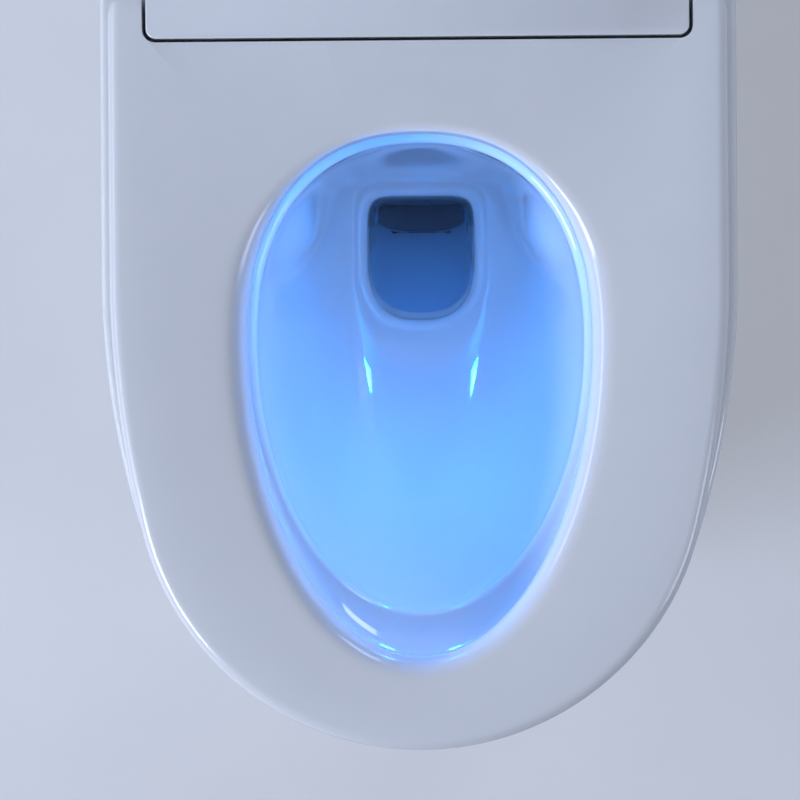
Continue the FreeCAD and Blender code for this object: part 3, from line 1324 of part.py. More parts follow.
def pinion(name, x):
    """An involute pinion under the wand's rack, with its shaft into the motor outside it."""
    teeth = int(S.pinion_teeth)
    middle_radius = S.gear_module * teeth / 2
    angle = math.radians(S.gear_angle)
    base_radius = middle_radius * math.cos(angle)
    tooth = (math.pi * S.gear_module / 2 - S.gear_slack) / middle_radius / 2

    def half_angle(radius):
        tilt = math.acos(min(1, base_radius / radius))
        return tooth + (math.tan(angle) - angle) - (math.tan(tilt) - tilt)
    root = middle_radius - S.gear_root * S.gear_module
    tip = middle_radius + S.gear_module
    flank = [(root, half_angle(base_radius)), (base_radius, half_angle(base_radius))]
    flank += [(radius, half_angle(radius)) for radius in (middle_radius, (middle_radius + tip) / 2, tip)]
    points = []
    for number in range(teeth):
        centre = math.pi / 2 + 2 * math.pi * number / teeth
        for radius, turn in flank:
            points.append((radius, centre - turn))
        for radius, turn in reversed(flank):
            points.append((radius, centre + turn))
    line = [Vector(0, radius * math.cos(turn), radius * math.sin(turn)) for radius, turn in points]
    wheel = Part.Face(Part.makePolygon(line + line[:1])).extrude(Vector(S.gear_width, 0, 0))
    wheel.translate(Vector(-S.gear_width / 2, 0, 0))
    side = 1 if x > 0 else -1
    reach = S.motor_plate_x - S.wand_x + S.motor_plate + S.pinion_shaft_entry
    shaft = Part.makeCylinder(S.pinion_shaft, reach, Vector(), Vector(side, 0, 0))
    node(name, shaped(wheel.fuse(shaft), pinion_frame(x)))


def pinion_frame(x):
    below = rack_pitch() + S.gear_module * S.pinion_teeth / 2 + S.gear_centre_gap
    frame = wand_frame(x)
    return Placement(frame.multVec(Vector(0, S.pinion_behind, -below)), frame.Rotation)


def wand_guide():
    """Two plates that carry both wands, joined by a spine, and two plates for the motors."""
    low, high = DECK_Z, S.rim_height - S.guide_top_gap
    half = S.guide_half_width
    first = S.guide_front + S.guide_plate
    second = S.guide_second + S.guide_plate
    solids = [
        block(-half, half, S.guide_front, first, low, high),
        block(-half, half, S.guide_second, second, low, high),
        block(-S.guide_spine / 2, S.guide_spine / 2, S.guide_front, second, low, high),
    ]
    voids = []
    for side in sides():
        frame = wand_frame(side * S.wand_x)
        near, far = sorted((side * S.motor_plate_x, side * (S.motor_plate_x + S.motor_plate)))
        solids.append(block(near, far, S.guide_second, S.motor_plate_end,
                            low + S.motor_plate_low, low + S.motor_plate_high))
        bore = Part.makeCylinder(S.wand_radius + S.wand_gap, wand_length(), Vector(), Vector(0, 1, 0))
        slot_half = S.gear_width / 2 + S.wand_gap
        slot = block(-slot_half, slot_half, 0, wand_length(), -rack_pitch() - S.gear_module - S.wand_gap, 0)
        for void in (bore, slot):
            void.Placement = frame
            voids.append(void)
        axle = pinion_frame(side * S.wand_x).Base
        voids.append(Part.makeCylinder(S.pinion_shaft + S.shaft_gap, 2 * S.motor_plate_x,
                                       Vector(0, axle.y, axle.z), Vector(side, 0, 0)))
    frame_solid = solids[0].fuse(solids[1:])
    for void in voids:
        frame_solid = frame_solid.cut(void)
    node("wand_guide", shaped(frame_solid.removeSplitter()))


def wand_motors():
    motors = []
    for side in sides():
        axle = pinion_frame(side * S.wand_x).Base
        start = Vector(side * (S.motor_plate_x + S.motor_plate), axle.y, axle.z)
        out = Vector(side, 0, 0)
        motor = Part.makeCylinder(S.motor_radius, S.motor_length, start, out)
        bore = Part.makeCylinder(S.pinion_shaft + S.shaft_gap, S.pinion_shaft_entry + 1, start, out)
        motors.append(motor.cut(bore))
    node("wand_motors", shaped(Part.makeCompound(motors)))


splash_guard()
wand("rear_wand", -S.wand_x)
wand("front_wand", S.wand_x)
pinion("rear_pinion", -S.wand_x)
pinion("front_pinion", S.wand_x)
wand_guide()
wand_motors()


# ---------------------------------------------------------------- dryer and deodorizer
def air_duct(name, side):
    """A channel from the splash guard under the unit's base, and its riser to the fan."""
    x = (f"{side} * duct_x - duct_width / 2", f"{side} * duct_x + duct_width / 2")
    inside = (f"{x[0]} + duct_wall", f"{x[1]} - duct_wall")
    front = "(guard_front + guard_plate)"
    back = "(riser_front + riser_depth)"
    low, high = f"({DECK} + duct_low)", f"({DECK} + duct_low + duct_height)"
    top = f"({BASE_TOP} + fan_height)"
    channel = box(x, (f"{front} + fit_gap", back), (low, high))
    riser = box(x, ("riser_front", back), (low, top))
    channel_space = box(inside, (front, f"{back} - duct_wall"),
                        (f"{low} + duct_wall", f"{high} - duct_wall"))
    riser_space = box(inside, ("riser_front + duct_wall", f"{back} - duct_wall"),
                      (f"{low} + duct_wall", f"{top} - fan_wall"))
    mouth = box(inside, (f"{back} - duct_wall - 1", f"{back} + 1"),
                (f"{BASE_TOP} + fan_wall", f"{top} - fan_wall"))
    node(name, cut(fuse(channel, riser), channel_space, riser_space, mouth))


def air_heater():
    """Plates in the dryer's channel that warm the air."""
    low = f"({DECK} + duct_low + duct_wall + fit_gap)"
    high = f"({DECK} + duct_low + duct_height - duct_wall - fit_gap)"
    plates = []
    for number in range(int(S.element_count)):
        middle = f"duct_x + ({number} - (element_count - 1) / 2) * element_pitch"
        plates.append(box((f"{middle} - element_plate / 2", f"{middle} + element_plate / 2"),
                          ("element_behind", "element_behind + element_length"), (low, high)))
    node("air_heater", group(*plates))


def fan_case(name, side):
    x = (f"{side} * duct_x - duct_width / 2", f"{side} * duct_x + duct_width / 2")
    centre = (f"{side} * fan_x", "fan_behind")
    front = "(riser_front + riser_depth)"
    drum = rod("z", "fan_radius", centre + (BASE_TOP,), "fan_height")
    spout = box(x, (front, "fan_behind"), (BASE_TOP, f"{BASE_TOP} + fan_height"))
    room = rod("z", "fan_radius - fan_wall", centre + (f"{BASE_TOP} + fan_wall",),
               "fan_height - 2 * fan_wall")
    throat = box((f"{x[0]} + fan_wall", f"{x[1]} - fan_wall"), (f"{front} - 1", "fan_behind"),
                 (f"{BASE_TOP} + fan_wall", f"{BASE_TOP} + fan_height - fan_wall"))
    inlet = rod("z", "fan_inlet", centre + (f"{BASE_TOP} - 1",), "fan_wall + 2")
    shaft = rod("z", "impeller_shaft + shaft_gap", centre + (f"{BASE_TOP} + fan_height - fan_wall - 1",),
                "fan_wall + 2")
    node(name, cut(fuse(drum, spout), room, throat, inlet, shaft))


def impeller(name, side):
    """A disc with straight blades under it, a hub and a shaft up into the motor."""
    body = DOC.addObject("PartDesign::Body", name)
    x, y = f"{side} * fan_x", "fan_behind"
    top = f"({BASE_TOP} + fan_wall + impeller_lift + impeller_height)"
    disc = circle(sketch(body, "XY_Plane", x, y, f"{top} - impeller_plate"), "impeller_radius")
    pad(body, disc, "impeller_plate")
    hub = circle(sketch(body, "XY_Plane", x, y, f"{top} - impeller_plate"), "impeller_hub")
    pad(body, hub, "impeller_height - impeller_plate", True)
    blade_sketch = sketch(body, "XY_Plane", x, y, f"{top} - impeller_plate")
    blade_outline(blade_sketch)
    blade = pad(body, blade_sketch, "impeller_height - impeller_plate", True)
    blades = body.newObject("PartDesign::PolarPattern", "Blades")
    blades.Originals = [blade]
    blades.Axis = (blade_sketch, ["N_Axis"])
    blades.Angle = 360
    bind(blades, "Occurrences", "impeller_blades")
    body.Tip = blades
    DOC.recompute()
    shaft = circle(sketch(body, "XY_Plane", x, y, top), "impeller_shaft")
    pad(body, shaft, "fan_height - fan_wall - impeller_lift - impeller_height + impeller_entry")
    node(name, body)


def blade_outline(made):
    """One blade near the impeller's rim, square to the radius."""
    four_sides(made, [(17, -1), (26, -1), (26, 1), (17, 1)], (LEVEL, UPRIGHT, LEVEL, UPRIGHT))
    dimension(made, "depth", Sketcher.Constraint("DistanceX", 0, 1, 0, 2, 9), "blade_depth")
    dimension(made, "thick", Sketcher.Constraint("DistanceY", 1, 1, 1, 2, 2), "blade_plate")
    dimension(made, "reach", Sketcher.Constraint("DistanceX", -1, 1, 0, 2, 26),
              "impeller_radius - blade_plate")
    dimension(made, "above", Sketcher.Constraint("DistanceY", -1, 1, 1, 2, 1), "blade_plate / 2")


def fan_motors():
    motors = []
    for side in sides():
        centre = (f"{side} * fan_x", "fan_behind", f"{BASE_TOP} + fan_height")
        motor = rod("z", "fan_motor_radius", centre, "fan_motor_height")
        bore = rod("z", "impeller_shaft + shaft_gap", centre, "impeller_entry + shaft_gap")
        motors.append(cut(motor, bore))
    node("fan_motors", group(*motors))


def deodorizer_filter():
    node("deodorizer_filter", rod("z", "filter_radius", ("-fan_x", "fan_behind", f"{RIM} - filter_height"),
                                  "filter_height"))


air_duct("dryer_duct", 1)
air_duct("deodorizer_duct", -1)
air_heater()
fan_case("dryer_case", 1)
fan_case("deodorizer_case", -1)
impeller("dryer_impeller", 1)
impeller("deodorizer_impeller", -1)
fan_motors()
deodorizer_filter()


# ---------------------------------------------------------------- water
def water_heater():
    tank = box(("-heater_width / 2", "heater_width / 2"), ("heater_front", "heater_front + heater_depth"),
               (BASE_TOP, f"{BASE_TOP} + heater_height"))
    DOC.recompute()
    soft = DOC.addObject("Part::Fillet", "rounded")
    soft.Base = tank
    soft.Edges = [(number, S.heater_round, S.heater_round)
                  for number, edge in enumerate(tank.Shape.Edges, 1) if upright(edge)]
    node("water_heater", soft)


def flow_selector():
    """The valve that sends warm water to either wand, on top of the heater."""
    top = f"({BASE_TOP} + heater_height)"
    middle = "(heater_front + heater_depth / 2)"
    case = box(("-selector_width / 2", "selector_width / 2"),
               (f"{middle} - selector_depth / 2", f"{middle} + selector_depth / 2"),
               (top, f"{top} + selector_height"))
    motor = rod("z", "selector_motor", (0, middle, f"{top} + selector_height"), "selector_motor_height")
    node("flow_selector", fuse(case, motor))


def inlet_fitting():
    """The male thread of the water inlet, in the left recess."""
    flange = rod("y", "inlet_flange", ("-recess_x", RECESS_WALL, CONNECTION_Z), "inlet_flange_plate")
    thread = rod("y", "inlet_thread", ("-recess_x", f"{RECESS_WALL} + inlet_flange_plate", CONNECTION_Z),
                 "inlet_thread_length")
    inner = f"({RECESS_WALL} - housing_wall - valve_gap)"
    neck = rod("y", "inlet_body", ("-recess_x", inner, CONNECTION_Z), "housing_wall + valve_gap")
    bore = rod("y", "inlet_bore", ("-recess_x", inner, CONNECTION_Z),
               "housing_wall + valve_gap + inlet_flange_plate + inlet_thread_length")
    node("inlet_fitting", cut(fuse(flange, thread, neck), bore))


def solenoid_valve():
    body = box(("-recess_x - valve_width / 2", "-recess_x + valve_width / 2"),
               (f"{VALVE_Y} - valve_length / 2", f"{VALVE_Y} + valve_length / 2"),
               (BASE_TOP, f"{BASE_TOP} + valve_height"))
    coil = rod("z", "coil_radius", ("-recess_x", VALVE_Y, f"{BASE_TOP} + valve_height"), "coil_height")
    node("solenoid_valve", fuse(body, coil))


def flush_tank():
    """An open tank, and the lid that hangs it under the unit's base."""
    x = ("-tank_width / 2", "tank_width / 2")
    y = ("tank_front", "tank_end")
    low, high = PUMP_TOP, f"({TANK_TOP} - tank_lid_plate)"
    outside = box(x, y, (low, high))
    space = box((f"{x[0]} + tank_wall", f"{x[1]} - tank_wall"),
                (f"{y[0]} + tank_wall", f"{y[1]} - tank_wall"), (f"{low} + tank_wall", f"{high} + 1"))
    node("flush_tank", cut(outside, space))
    pieces = [box(x, y, (high, TANK_TOP))]
    for side in sides():
        for along in ("tank_front + hanger_inset", "tank_end - hanger_inset"):
            pieces.append(rod("z", "hanger_radius", (f"{side} * hanger_x", along, TANK_TOP), "tank_drop"))
    pieces.append(rod("z", "fill_spigot", ("-recess_x", VALVE_Y, TANK_TOP), "fill_spigot_height"))
    node("tank_lid", fuse(*pieces))


def flush_pump():
    """The pump under the tank, with one port for the sump jet and one for the rim."""
    body = rod("z", "pump_radius", ("pump_x", PUMP_Y, PUMP_FOOT), "pump_height")
    ports, bores = [], []
    for level in ("pump_port_low", "pump_port_high"):
        start = ("pump_x", f"{PUMP_Y} - pump_radius - pump_port_length", f"{PUMP_FOOT} + {level}")
        ports.append(rod("y", "hose_radius", start, "pump_radius + pump_port_length"))
        bores.append(rod("y", "hose_bore", start, "pump_radius / 2 + pump_port_length"))
    node("flush_pump", cut(fuse(body, *ports), *bores))


def hose(name, points):
    path = rounded_path(points, S.hose_bend)
    outside = tube(path, S.hose_radius)
    space = tube(path, S.hose_bore)
    node(name, shaped(outside.cut(space)))


def hoses():
    port = PUMP_MIDDLE - S.pump_radius - S.pump_port_length
    rim_z = PUMP_BASE + S.pump_port_high
    hose("jet_hose", [
        Vector(S.pump_x, port, JET_Z),
        Vector(S.pump_x, -S.sump_centre, JET_Z),
        Vector(S.jet_reach, -S.sump_centre, JET_Z),
    ])
    hose("rim_hose", [
        Vector(S.pump_x, port, rim_z),
        Vector(S.pump_x, S.rim_rise_behind, rim_z),
        Vector(S.pump_x, S.rim_rise_behind, S.rim_port_height),
        Vector(S.pump_x, S.rim_port_end, S.rim_port_height),
    ])
    length = "tank_drop + base_plate"
    outside = rod("z", "hose_radius", ("-recess_x", VALVE_Y, TANK_TOP), length)
    node("fill_hose", cut(outside, rod("z", "hose_bore", ("-recess_x", VALVE_Y, TANK_TOP), length)))


water_heater()
flow_selector()
inlet_fitting()
solenoid_valve()
flush_tank()
flush_pump()
hoses()


# ---------------------------------------------------------------- electrics and controls
def power_supply():
    node("power_supply", box(("supply_x", "supply_x + supply_width"),
                             ("supply_front", "supply_front + supply_length"),
                             (BASE_TOP, f"{BASE_TOP} + supply_height")))


def control_board():
    """The board on its posts, with a grid of components."""
    low = f"({BASE_TOP} + board_lift)"
    pieces = [box(("-board_x - board_width / 2", "-board_x + board_width / 2"),
                  ("board_front", "board_front + board_length"), (low, f"{low} + board_plate"))]
    for row in (-1, 0, 1):
        for column in (-1, 0, 1):
            x = f"(-board_x + {column} * chip_pitch)"
            y = f"(board_front + board_length / 2 + {row} * chip_pitch)"
            height = f"chip_height * {1 + (row + column) % 3}"  # one, two or three steps high
            pieces.append(box((f"{x} - chip_side / 2", f"{x} + chip_side / 2"),
                              (f"{y} - chip_side / 2", f"{y} + chip_side / 2"),
                              (f"{low} + board_plate", f"{low} + board_plate + {height}")))
    node("control_board", fuse(*pieces))


def control_bracket():
    node("control_bracket", box(("control_wall_x", "control_wall_x + control_wall"),
                                ("control_wall_front", "control_wall_front + control_wall_length"),
                                (BASE_TOP, f"{BASE_TOP} + control_wall_height")))


CONTROL_FACE = "(control_wall_x + control_wall)"


def knob_encoder():
    half = "encoder_side / 2"
    case = box((CONTROL_FACE, f"{CONTROL_FACE} + encoder_depth"),
               (f"knob_behind - {half}", f"knob_behind + {half}"),
               (f"{CONTROL_Z} - {half}", f"{CONTROL_Z} + {half}"))
    bore_start = (f"{CONTROL_FACE} + encoder_floor", "knob_behind", CONTROL_Z)
    bore = rod("x", "plunger_radius + plunger_gap", bore_start, "encoder_depth")
    node("knob_encoder", cut(case, bore))


def knob_plunger():
    """The plunger that slides in the encoder and carries the knob."""
    start = f"({CONTROL_FACE} + encoder_floor + plunger_gap + knob_travel)"
    end = f"({HOUSING_SIDE} + knob_gap + knob_depth - knob_bore_end - plunger_gap)"
    node("knob_plunger", rod("x", "plunger_radius", (start, "knob_behind", CONTROL_Z), f"{end} - {start}"))


def side_knob():
    """The knob, with grip grooves round it and a blind bore for the plunger."""
    body = DOC.addObject("PartDesign::Body", "side_knob")
    face = f"({HOUSING_SIDE} + knob_gap)"
    disc = circle(sketch(body, "YZ_Plane", face, "knob_behind", CONTROL_Z), "knob_radius")
    pad(body, disc, "knob_depth")
    outer_face = S.housing_width / 2 + S.knob_gap + S.knob_depth
    fillet(body, "knob_round", lambda edge: edge.BoundBox.XMin > outer_face - 0.01)
    centre = sketch(body, "YZ_Plane", face, "knob_behind", CONTROL_Z)
    bore = circle(sketch(body, "YZ_Plane", face, "knob_behind", CONTROL_Z), "plunger_radius + plunger_gap")
    pocket(body, bore, "knob_depth - knob_bore_end", True)
    rim = sketch(body, "YZ_Plane", face, "knob_behind + knob_radius", CONTROL_Z)
    groove = pocket(body, circle(rim, "grip_depth"), "knob_depth - knob_round", True)
    grip = body.newObject("PartDesign::PolarPattern", "Grip")
    grip.Originals = [groove]
    grip.Axis = (centre, ["N_Axis"])
    grip.Angle = 360
    bind(grip, "Occurrences", "grip_count")
    body.Tip = grip
    DOC.recompute()
    node("side_knob", body)


def flush_button():
    """A round button through the housing's side, kept in by its flange."""
    face = f"({HOUSING_SIDE} + button_proud)"
    flange_face = f"({HOUSING_SIDE} - housing_wall - fit_gap)"
    switch_face = f"({CONTROL_FACE} + switch_depth)"
    body = DOC.addObject("PartDesign::Body", "flush_button")
    cap = circle(sketch(body, "YZ_Plane", flange_face, "button_behind", CONTROL_Z), "button_radius")
    pad(body, cap, f"{face} - {flange_face}")
    flange = circle(sketch(body, "YZ_Plane", flange_face, "button_behind", CONTROL_Z), "button_flange")
    pad(body, flange, "button_flange_plate", True)
    flange_back = f"{flange_face} - button_flange_plate"
    stem = circle(sketch(body, "YZ_Plane", flange_back, "button_behind", CONTROL_Z), "button_stem")
    pad(body, stem, f"{flange_back} - {switch_face} - button_travel - fit_gap", True)
    outer_face = S.housing_width / 2 + S.button_proud
    fillet(body, "button_round", lambda edge: edge.BoundBox.XMin > outer_face - 0.01)
    node("flush_button", body)
    half = "switch_side / 2"
    node("flush_switch", box((CONTROL_FACE, switch_face),
                             (f"button_behind - {half}", f"button_behind + {half}"),
                             (f"{CONTROL_Z} - {half}", f"{CONTROL_Z} + {half}")))


def power_gland():
    """The gland for the power lead in the right recess, with its nut inside."""
    flange = rod("y", "gland_flange", ("recess_x", RECESS_WALL, CONNECTION_Z), "gland_flange_plate")
    inner = f"({RECESS_WALL} - housing_wall - gland_nut_height)"
    neck = rod("y", "gland_radius", ("recess_x", inner, CONNECTION_Z),
               "housing_wall + gland_nut_height + gland_flange_plate + gland_proud")
    bore = rod("y", "gland_bore", ("recess_x", inner, CONNECTION_Z),
               "housing_wall + gland_nut_height + gland_flange_plate + gland_proud")
    nut = rod("y", "gland_flange", ("recess_x", inner, CONNECTION_Z), "gland_nut_height")
    nut_bore = rod("y", "gland_radius + fit_gap", ("recess_x", inner, CONNECTION_Z), "gland_nut_height")
    node("power_gland", group(cut(fuse(flange, neck), bore), cut(nut, nut_bore)))


power_supply()
control_board()
control_bracket()
knob_encoder()
knob_plunger()
side_knob()
flush_button()
power_gland()


# ---------------------------------------------------------------- checks and files
DOC.recompute()
for thing in DOC.Objects:
    if {"Invalid", "Error"} & set(thing.State):
        raise ValueError(f"{thing.Label} ({thing.Name}) failed: {thing.State}")
for part in NODES:
    if part.Shape.isNull() or not part.Shape.isValid() or not part.Shape.Solids:
        raise ValueError(f"{part.Label} is not a valid solid")
os.makedirs("parts", exist_ok=True)
for part in NODES:
    part.Shape.exportStep(f"parts/{part.Label}.step")
print(len(NODES), "nodes written")
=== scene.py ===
"""The looks of a floor-standing smart toilet: its ceramic, seat, lid, wash unit and night light."""
import bmesh
import bpy
import json
import math
from mathutils import Matrix, Vector

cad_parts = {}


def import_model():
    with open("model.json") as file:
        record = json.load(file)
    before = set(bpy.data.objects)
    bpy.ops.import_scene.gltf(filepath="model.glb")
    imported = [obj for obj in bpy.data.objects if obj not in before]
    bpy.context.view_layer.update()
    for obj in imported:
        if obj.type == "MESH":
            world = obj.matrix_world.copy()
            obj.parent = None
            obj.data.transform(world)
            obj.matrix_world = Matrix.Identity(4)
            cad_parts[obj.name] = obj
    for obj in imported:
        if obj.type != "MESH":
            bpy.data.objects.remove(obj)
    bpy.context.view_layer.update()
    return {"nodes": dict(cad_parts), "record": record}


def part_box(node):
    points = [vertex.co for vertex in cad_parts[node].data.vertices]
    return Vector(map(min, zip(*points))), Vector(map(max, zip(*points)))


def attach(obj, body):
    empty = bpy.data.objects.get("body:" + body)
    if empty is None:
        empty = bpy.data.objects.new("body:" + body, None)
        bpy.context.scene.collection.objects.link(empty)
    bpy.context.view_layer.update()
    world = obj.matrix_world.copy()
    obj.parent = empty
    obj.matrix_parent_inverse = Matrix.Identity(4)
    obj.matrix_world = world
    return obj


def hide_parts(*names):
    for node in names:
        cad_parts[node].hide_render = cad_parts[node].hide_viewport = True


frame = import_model()
NODES = frame["nodes"]
MM = 0.001


def deselect():
    bpy.ops.object.select_all(action="DESELECT")


def only(piece):
    """Selects one piece and nothing else, for the operators."""
    deselect()
    piece.select_set(True)
    bpy.context.view_layer.objects.active = piece
    return piece


deselect()

# ------------------------------------------------------------------ sizes, in millimetres
# Those that the frame holds are read from it. The rest are the driving ones of the bowl and the edges.
SEAT_LOW, SEAT_HIGH = (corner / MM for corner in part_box("seat_shell"))
SKIRT_LOW, SKIRT_HIGH = (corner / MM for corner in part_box("ceramic_body"))
HOUSING_LOW, HOUSING_HIGH = (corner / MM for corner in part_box("rear_housing"))
COVER_LOW, COVER_HIGH = (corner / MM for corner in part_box("hinge_cover"))
GUARD_LOW, GUARD_HIGH = (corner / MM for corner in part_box("splash_guard"))
LENS_LOW, LENS_HIGH = (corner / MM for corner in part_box("night_light_lenses"))
KNOB_LOW, KNOB_HIGH = (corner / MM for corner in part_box("side_knob"))
BUTTON_LOW, BUTTON_HIGH = (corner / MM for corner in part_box("flush_button"))
WINDOW_LOW, WINDOW_HIGH = (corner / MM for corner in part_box("display_window"))
SHAFT_LOW, SHAFT_HIGH = (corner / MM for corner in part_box("seat_shaft"))

RIM = SKIRT_HIGH.z
BACK = SKIRT_HIGH.y
TIP = SEAT_LOW.y
SEAT_HALF = SEAT_HIGH.x
HINGE = (SHAFT_LOW + SHAFT_HIGH) / 2

PARALLEL = -95          # ahead of this line the sides curve in to the nose
OPENING_CENTRE = -137   # widest line of the seat's opening
OPENING = (108.7, 200, 130)     # the opening's half width, and its reach ahead and behind
OPENING_SQUARE = (2, 2.3)       # how square it is ahead and behind, where 2 is an ellipse
NOSE_INSET = 18         # the skirt's half width minus its nose radius
BACK_CORNER = 26        # radius of the skirt's back corners
SEAT_NOSE_INSET = 14.5  # the same for the seat and the lid
WALL = 12               # ceramic wall
BOWL_WALL = 10
RIM_ROUND = 5
MOUTH_MARGIN = 8.5      # the bowl's mouth outside the opening
MOUTH_ROUND = 6
LEDGE_Z = RIM - 60
LEDGE = (107, 176, 130)         # inner edge of the flush ledge
LEDGE_ROUND = 6
LEDGE_RISE = ((0.3, 2.5), (0.6, 6), (0.85, 11), (1, 17))    # share of its width, height there
SUMP_CENTRE = -76
SUMP_Z = RIM - 195
SUMP = (37, 43, 43)
SUMP_SQUARE = (2.6, 7)
SUMP_ROUND = 9
SUMP_FLOOR = 76
BOWL_FULLNESS = 1.4
LOBE = 15               # how far a lobe swells, where it lies in degrees and how wide it is
LOBE_TURN = 38
LOBE_SPREAD = 15
WATER_Z = 172
DECK_Z = GUARD_LOW.z
BAY_FRONT = -68.5       # front edge of the unit's bay in the deck
COVER_GAP = 2.5         # the seat's gap round the hinge cover
SEAT_ARM = 10.7         # width of a seat arm
ARM_GAP = 0.9           # between a seat arm and a lid arm
PORT_X = 136            # the inlet's and the gland's place
PORT_Z = 412


# ------------------------------------------------------------------ rings of points
def lagrange(z, levels, values):
    """The parabola through three values at three levels."""
    total = 0
    for i in range(3):
        term = values[i]
        for j in range(3):
            if j != i:
                term *= (z - levels[j]) / (levels[i] - levels[j])
        total += term
    return total


def spaced(start, end, count):
    return [start + (end - start) * step / count for step in range(count + 1)]


def arc(centre, radius, start, end, count):
    """Points on an arc, from one angle to another in degrees."""
    turns = [math.radians(angle) for angle in spaced(start, end, count)]
    return [(centre[0] + radius * math.cos(t), centre[1] + radius * math.sin(t)) for t in turns]


def half_outline(half, tip, back, nose_inset, corner):
    """The right half of a toilet's plan, front to back: nose, flank, side, rounded corner, back."""
    nose = half - nose_inset
    nose_centre = tip + nose
    flank = ((PARALLEL - nose_centre) ** 2 / (half - nose) + nose + half) / 2
    meet = math.degrees(math.atan2(nose_centre - PARALLEL, flank - half))
    points = arc((0, nose_centre), nose, -90, meet, 80)
    points += arc((half - flank, PARALLEL), flank, meet, 0, 40)[1:]
    points += [(half, y) for y in spaced(PARALLEL, back - corner, 60)[1:]]
    points += arc((half - corner, back - corner), corner, 0, 90, 24)[1:]
    points += [(x, back) for x in spaced(half - corner, 0, 60)[1:]]
    return points


def cast(points, turns):
    """The half outline met by rays from the opening's centre, then its mirror image."""
    polar = [(math.atan2(y - OPENING_CENTRE, x), math.hypot(x, y - OPENING_CENTRE)) for x, y in points]
    right, at = [], 0
    for turn in turns:
        while at < len(polar) - 2 and polar[at + 1][0] < turn:
            at += 1
        (low, near), (high, far) = polar[at], polar[at + 1]
        reach = near + (far - near) * (turn - low) / (high - low)
        right.append((reach * math.cos(turn), OPENING_CENTRE + reach * math.sin(turn)))
    return right + [(-x, y) for x, y in reversed(right[1:-1])]


def ray_turns(corner_from, corner_to):
    """Angles from the front to the back, closer together where the outline turns its corner."""
    angles = {round(angle, 2) for angle in spaced(-90, 90, 112)}
    angles |= {round(angle, 2) for angle in spaced(corner_from, corner_to, 24)}
    return [math.radians(angle) for angle in sorted(angles)]


def egg(sizes, centre, square, turns):
    """An egg about its own centre: half width, reach ahead and reach behind, with a squareness for each."""
    half, front, rear = sizes
    right = []
    for turn in turns:
        across, along = abs(math.cos(turn)) / half, math.sin(turn)
        power, reach = (square[1], rear) if along > 0 else (square[0], front)
        radius = (across ** power + abs(along / reach) ** power) ** (-1 / power)
        right.append((radius * math.cos(turn), centre + radius * along))
    return right + [(-x, y) for x, y in reversed(right[1:-1])]


def level(points, z):
    """Plan points set at a height, in metres."""
    return [Vector((x, y, z)) * MM for x, y in points]


def grown(sizes, margin):
    return tuple(size + margin for size in sizes)


# ------------------------------------------------------------------ modelling by hand
def skin(name, rings):
    """A closed skin through rings of points: a grid rolled round, its two ends filled."""
    around = len(rings[0])
    bpy.ops.mesh.primitive_grid_add(x_subdivisions=around, y_subdivisions=len(rings) - 1, size=1)
    piece = bpy.context.object
    piece.name = name
    points = [point for ring in rings for point in (*ring, ring[0])]
    for vertex, point in zip(piece.data.vertices, points):
        vertex.co = point
    only(piece)
    bpy.ops.object.mode_set(mode="EDIT")
    bpy.ops.mesh.select_all(action="SELECT")
    bpy.ops.mesh.remove_doubles(threshold=1e-7)
    bpy.ops.mesh.select_all(action="DESELECT")
    bpy.ops.mesh.select_non_manifold()
    bpy.ops.mesh.edge_face_add()
    bpy.ops.mesh.select_all(action="SELECT")
    bpy.ops.mesh.normals_make_consistent(inside=False)
    bpy.ops.object.mode_set(mode="OBJECT")
    return piece


def block(name, low, high):
    """A block between two corners, in millimetres."""
    low, high = Vector(low) * MM, Vector(high) * MM
    bpy.ops.mesh.primitive_cube_add(size=1, location=(low + high) / 2, scale=high - low)
    piece = bpy.context.object
    piece.name = name
    only(piece)
    bpy.ops.object.transform_apply(location=True, rotation=True, scale=True)
    return piece


TURNED = {"x": (0, math.pi / 2, 0), "y": (math.pi / 2, 0, 0), "z": (0, 0, 0)}


def rod(name, axis, radius, middle, length, sides=64):
    """A round bar about its middle, along an axis."""
    bpy.ops.mesh.primitive_cylinder_add(vertices=sides, radius=radius * MM, depth=length * MM,
                                        location=Vector(middle) * MM, rotation=TURNED[axis])
    piece = bpy.context.object
    piece.name = name
    only(piece)
    bpy.ops.object.transform_apply(location=True, rotation=True, scale=True)
    return piece


def modify(piece, kind, **settings):
    """Adds a modifier with its settings and applies it."""
    only(piece)
    modifier = piece.modifiers.new(kind, kind)
    for name, value in settings.items():
        setattr(modifier, name, value)
    bpy.ops.object.modifier_apply(modifier=modifier.name)
    return piece


def combine(piece, tool, operation="DIFFERENCE"):
    """Cuts a tool from a piece, or joins it on, and removes the tool."""
    modify(piece, "BOOLEAN", operation=operation, solver="MANIFOLD", object=tool)
    bpy.data.objects.remove(tool)
    return piece


def soften(piece, width, segments=2, angle=40):
    """Bevels the edges sharper than an angle."""
    return modify(piece, "BEVEL", width=width * MM, segments=segments, limit_method="ANGLE",
                  angle_limit=math.radians(angle), use_clamp_overlap=True)


def smooth(piece, angle=35):
    only(piece)
    bpy.ops.object.shade_smooth_by_angle(angle=math.radians(angle))
    return piece


def bevel_where(piece, test, width, segments):
    """Bevels the edges that a test picks by their two ends, in millimetres."""
    only(piece)
    bpy.ops.object.mode_set(mode="EDIT")
    bpy.ops.mesh.select_mode(type="EDGE")
    bpy.ops.mesh.select_all(action="DESELECT")
    mesh = bmesh.from_edit_mesh(piece.data)
    for edge in mesh.edges:
        start, end = (vertex.co / MM for vertex in edge.verts)
        edge.select_set(bool(test(start, end)))
    bmesh.update_edit_mesh(piece.data)
    bpy.ops.mesh.bevel(offset=width * MM, segments=segments, affect="EDGES")
    bpy.ops.object.mode_set(mode="OBJECT")
    return piece


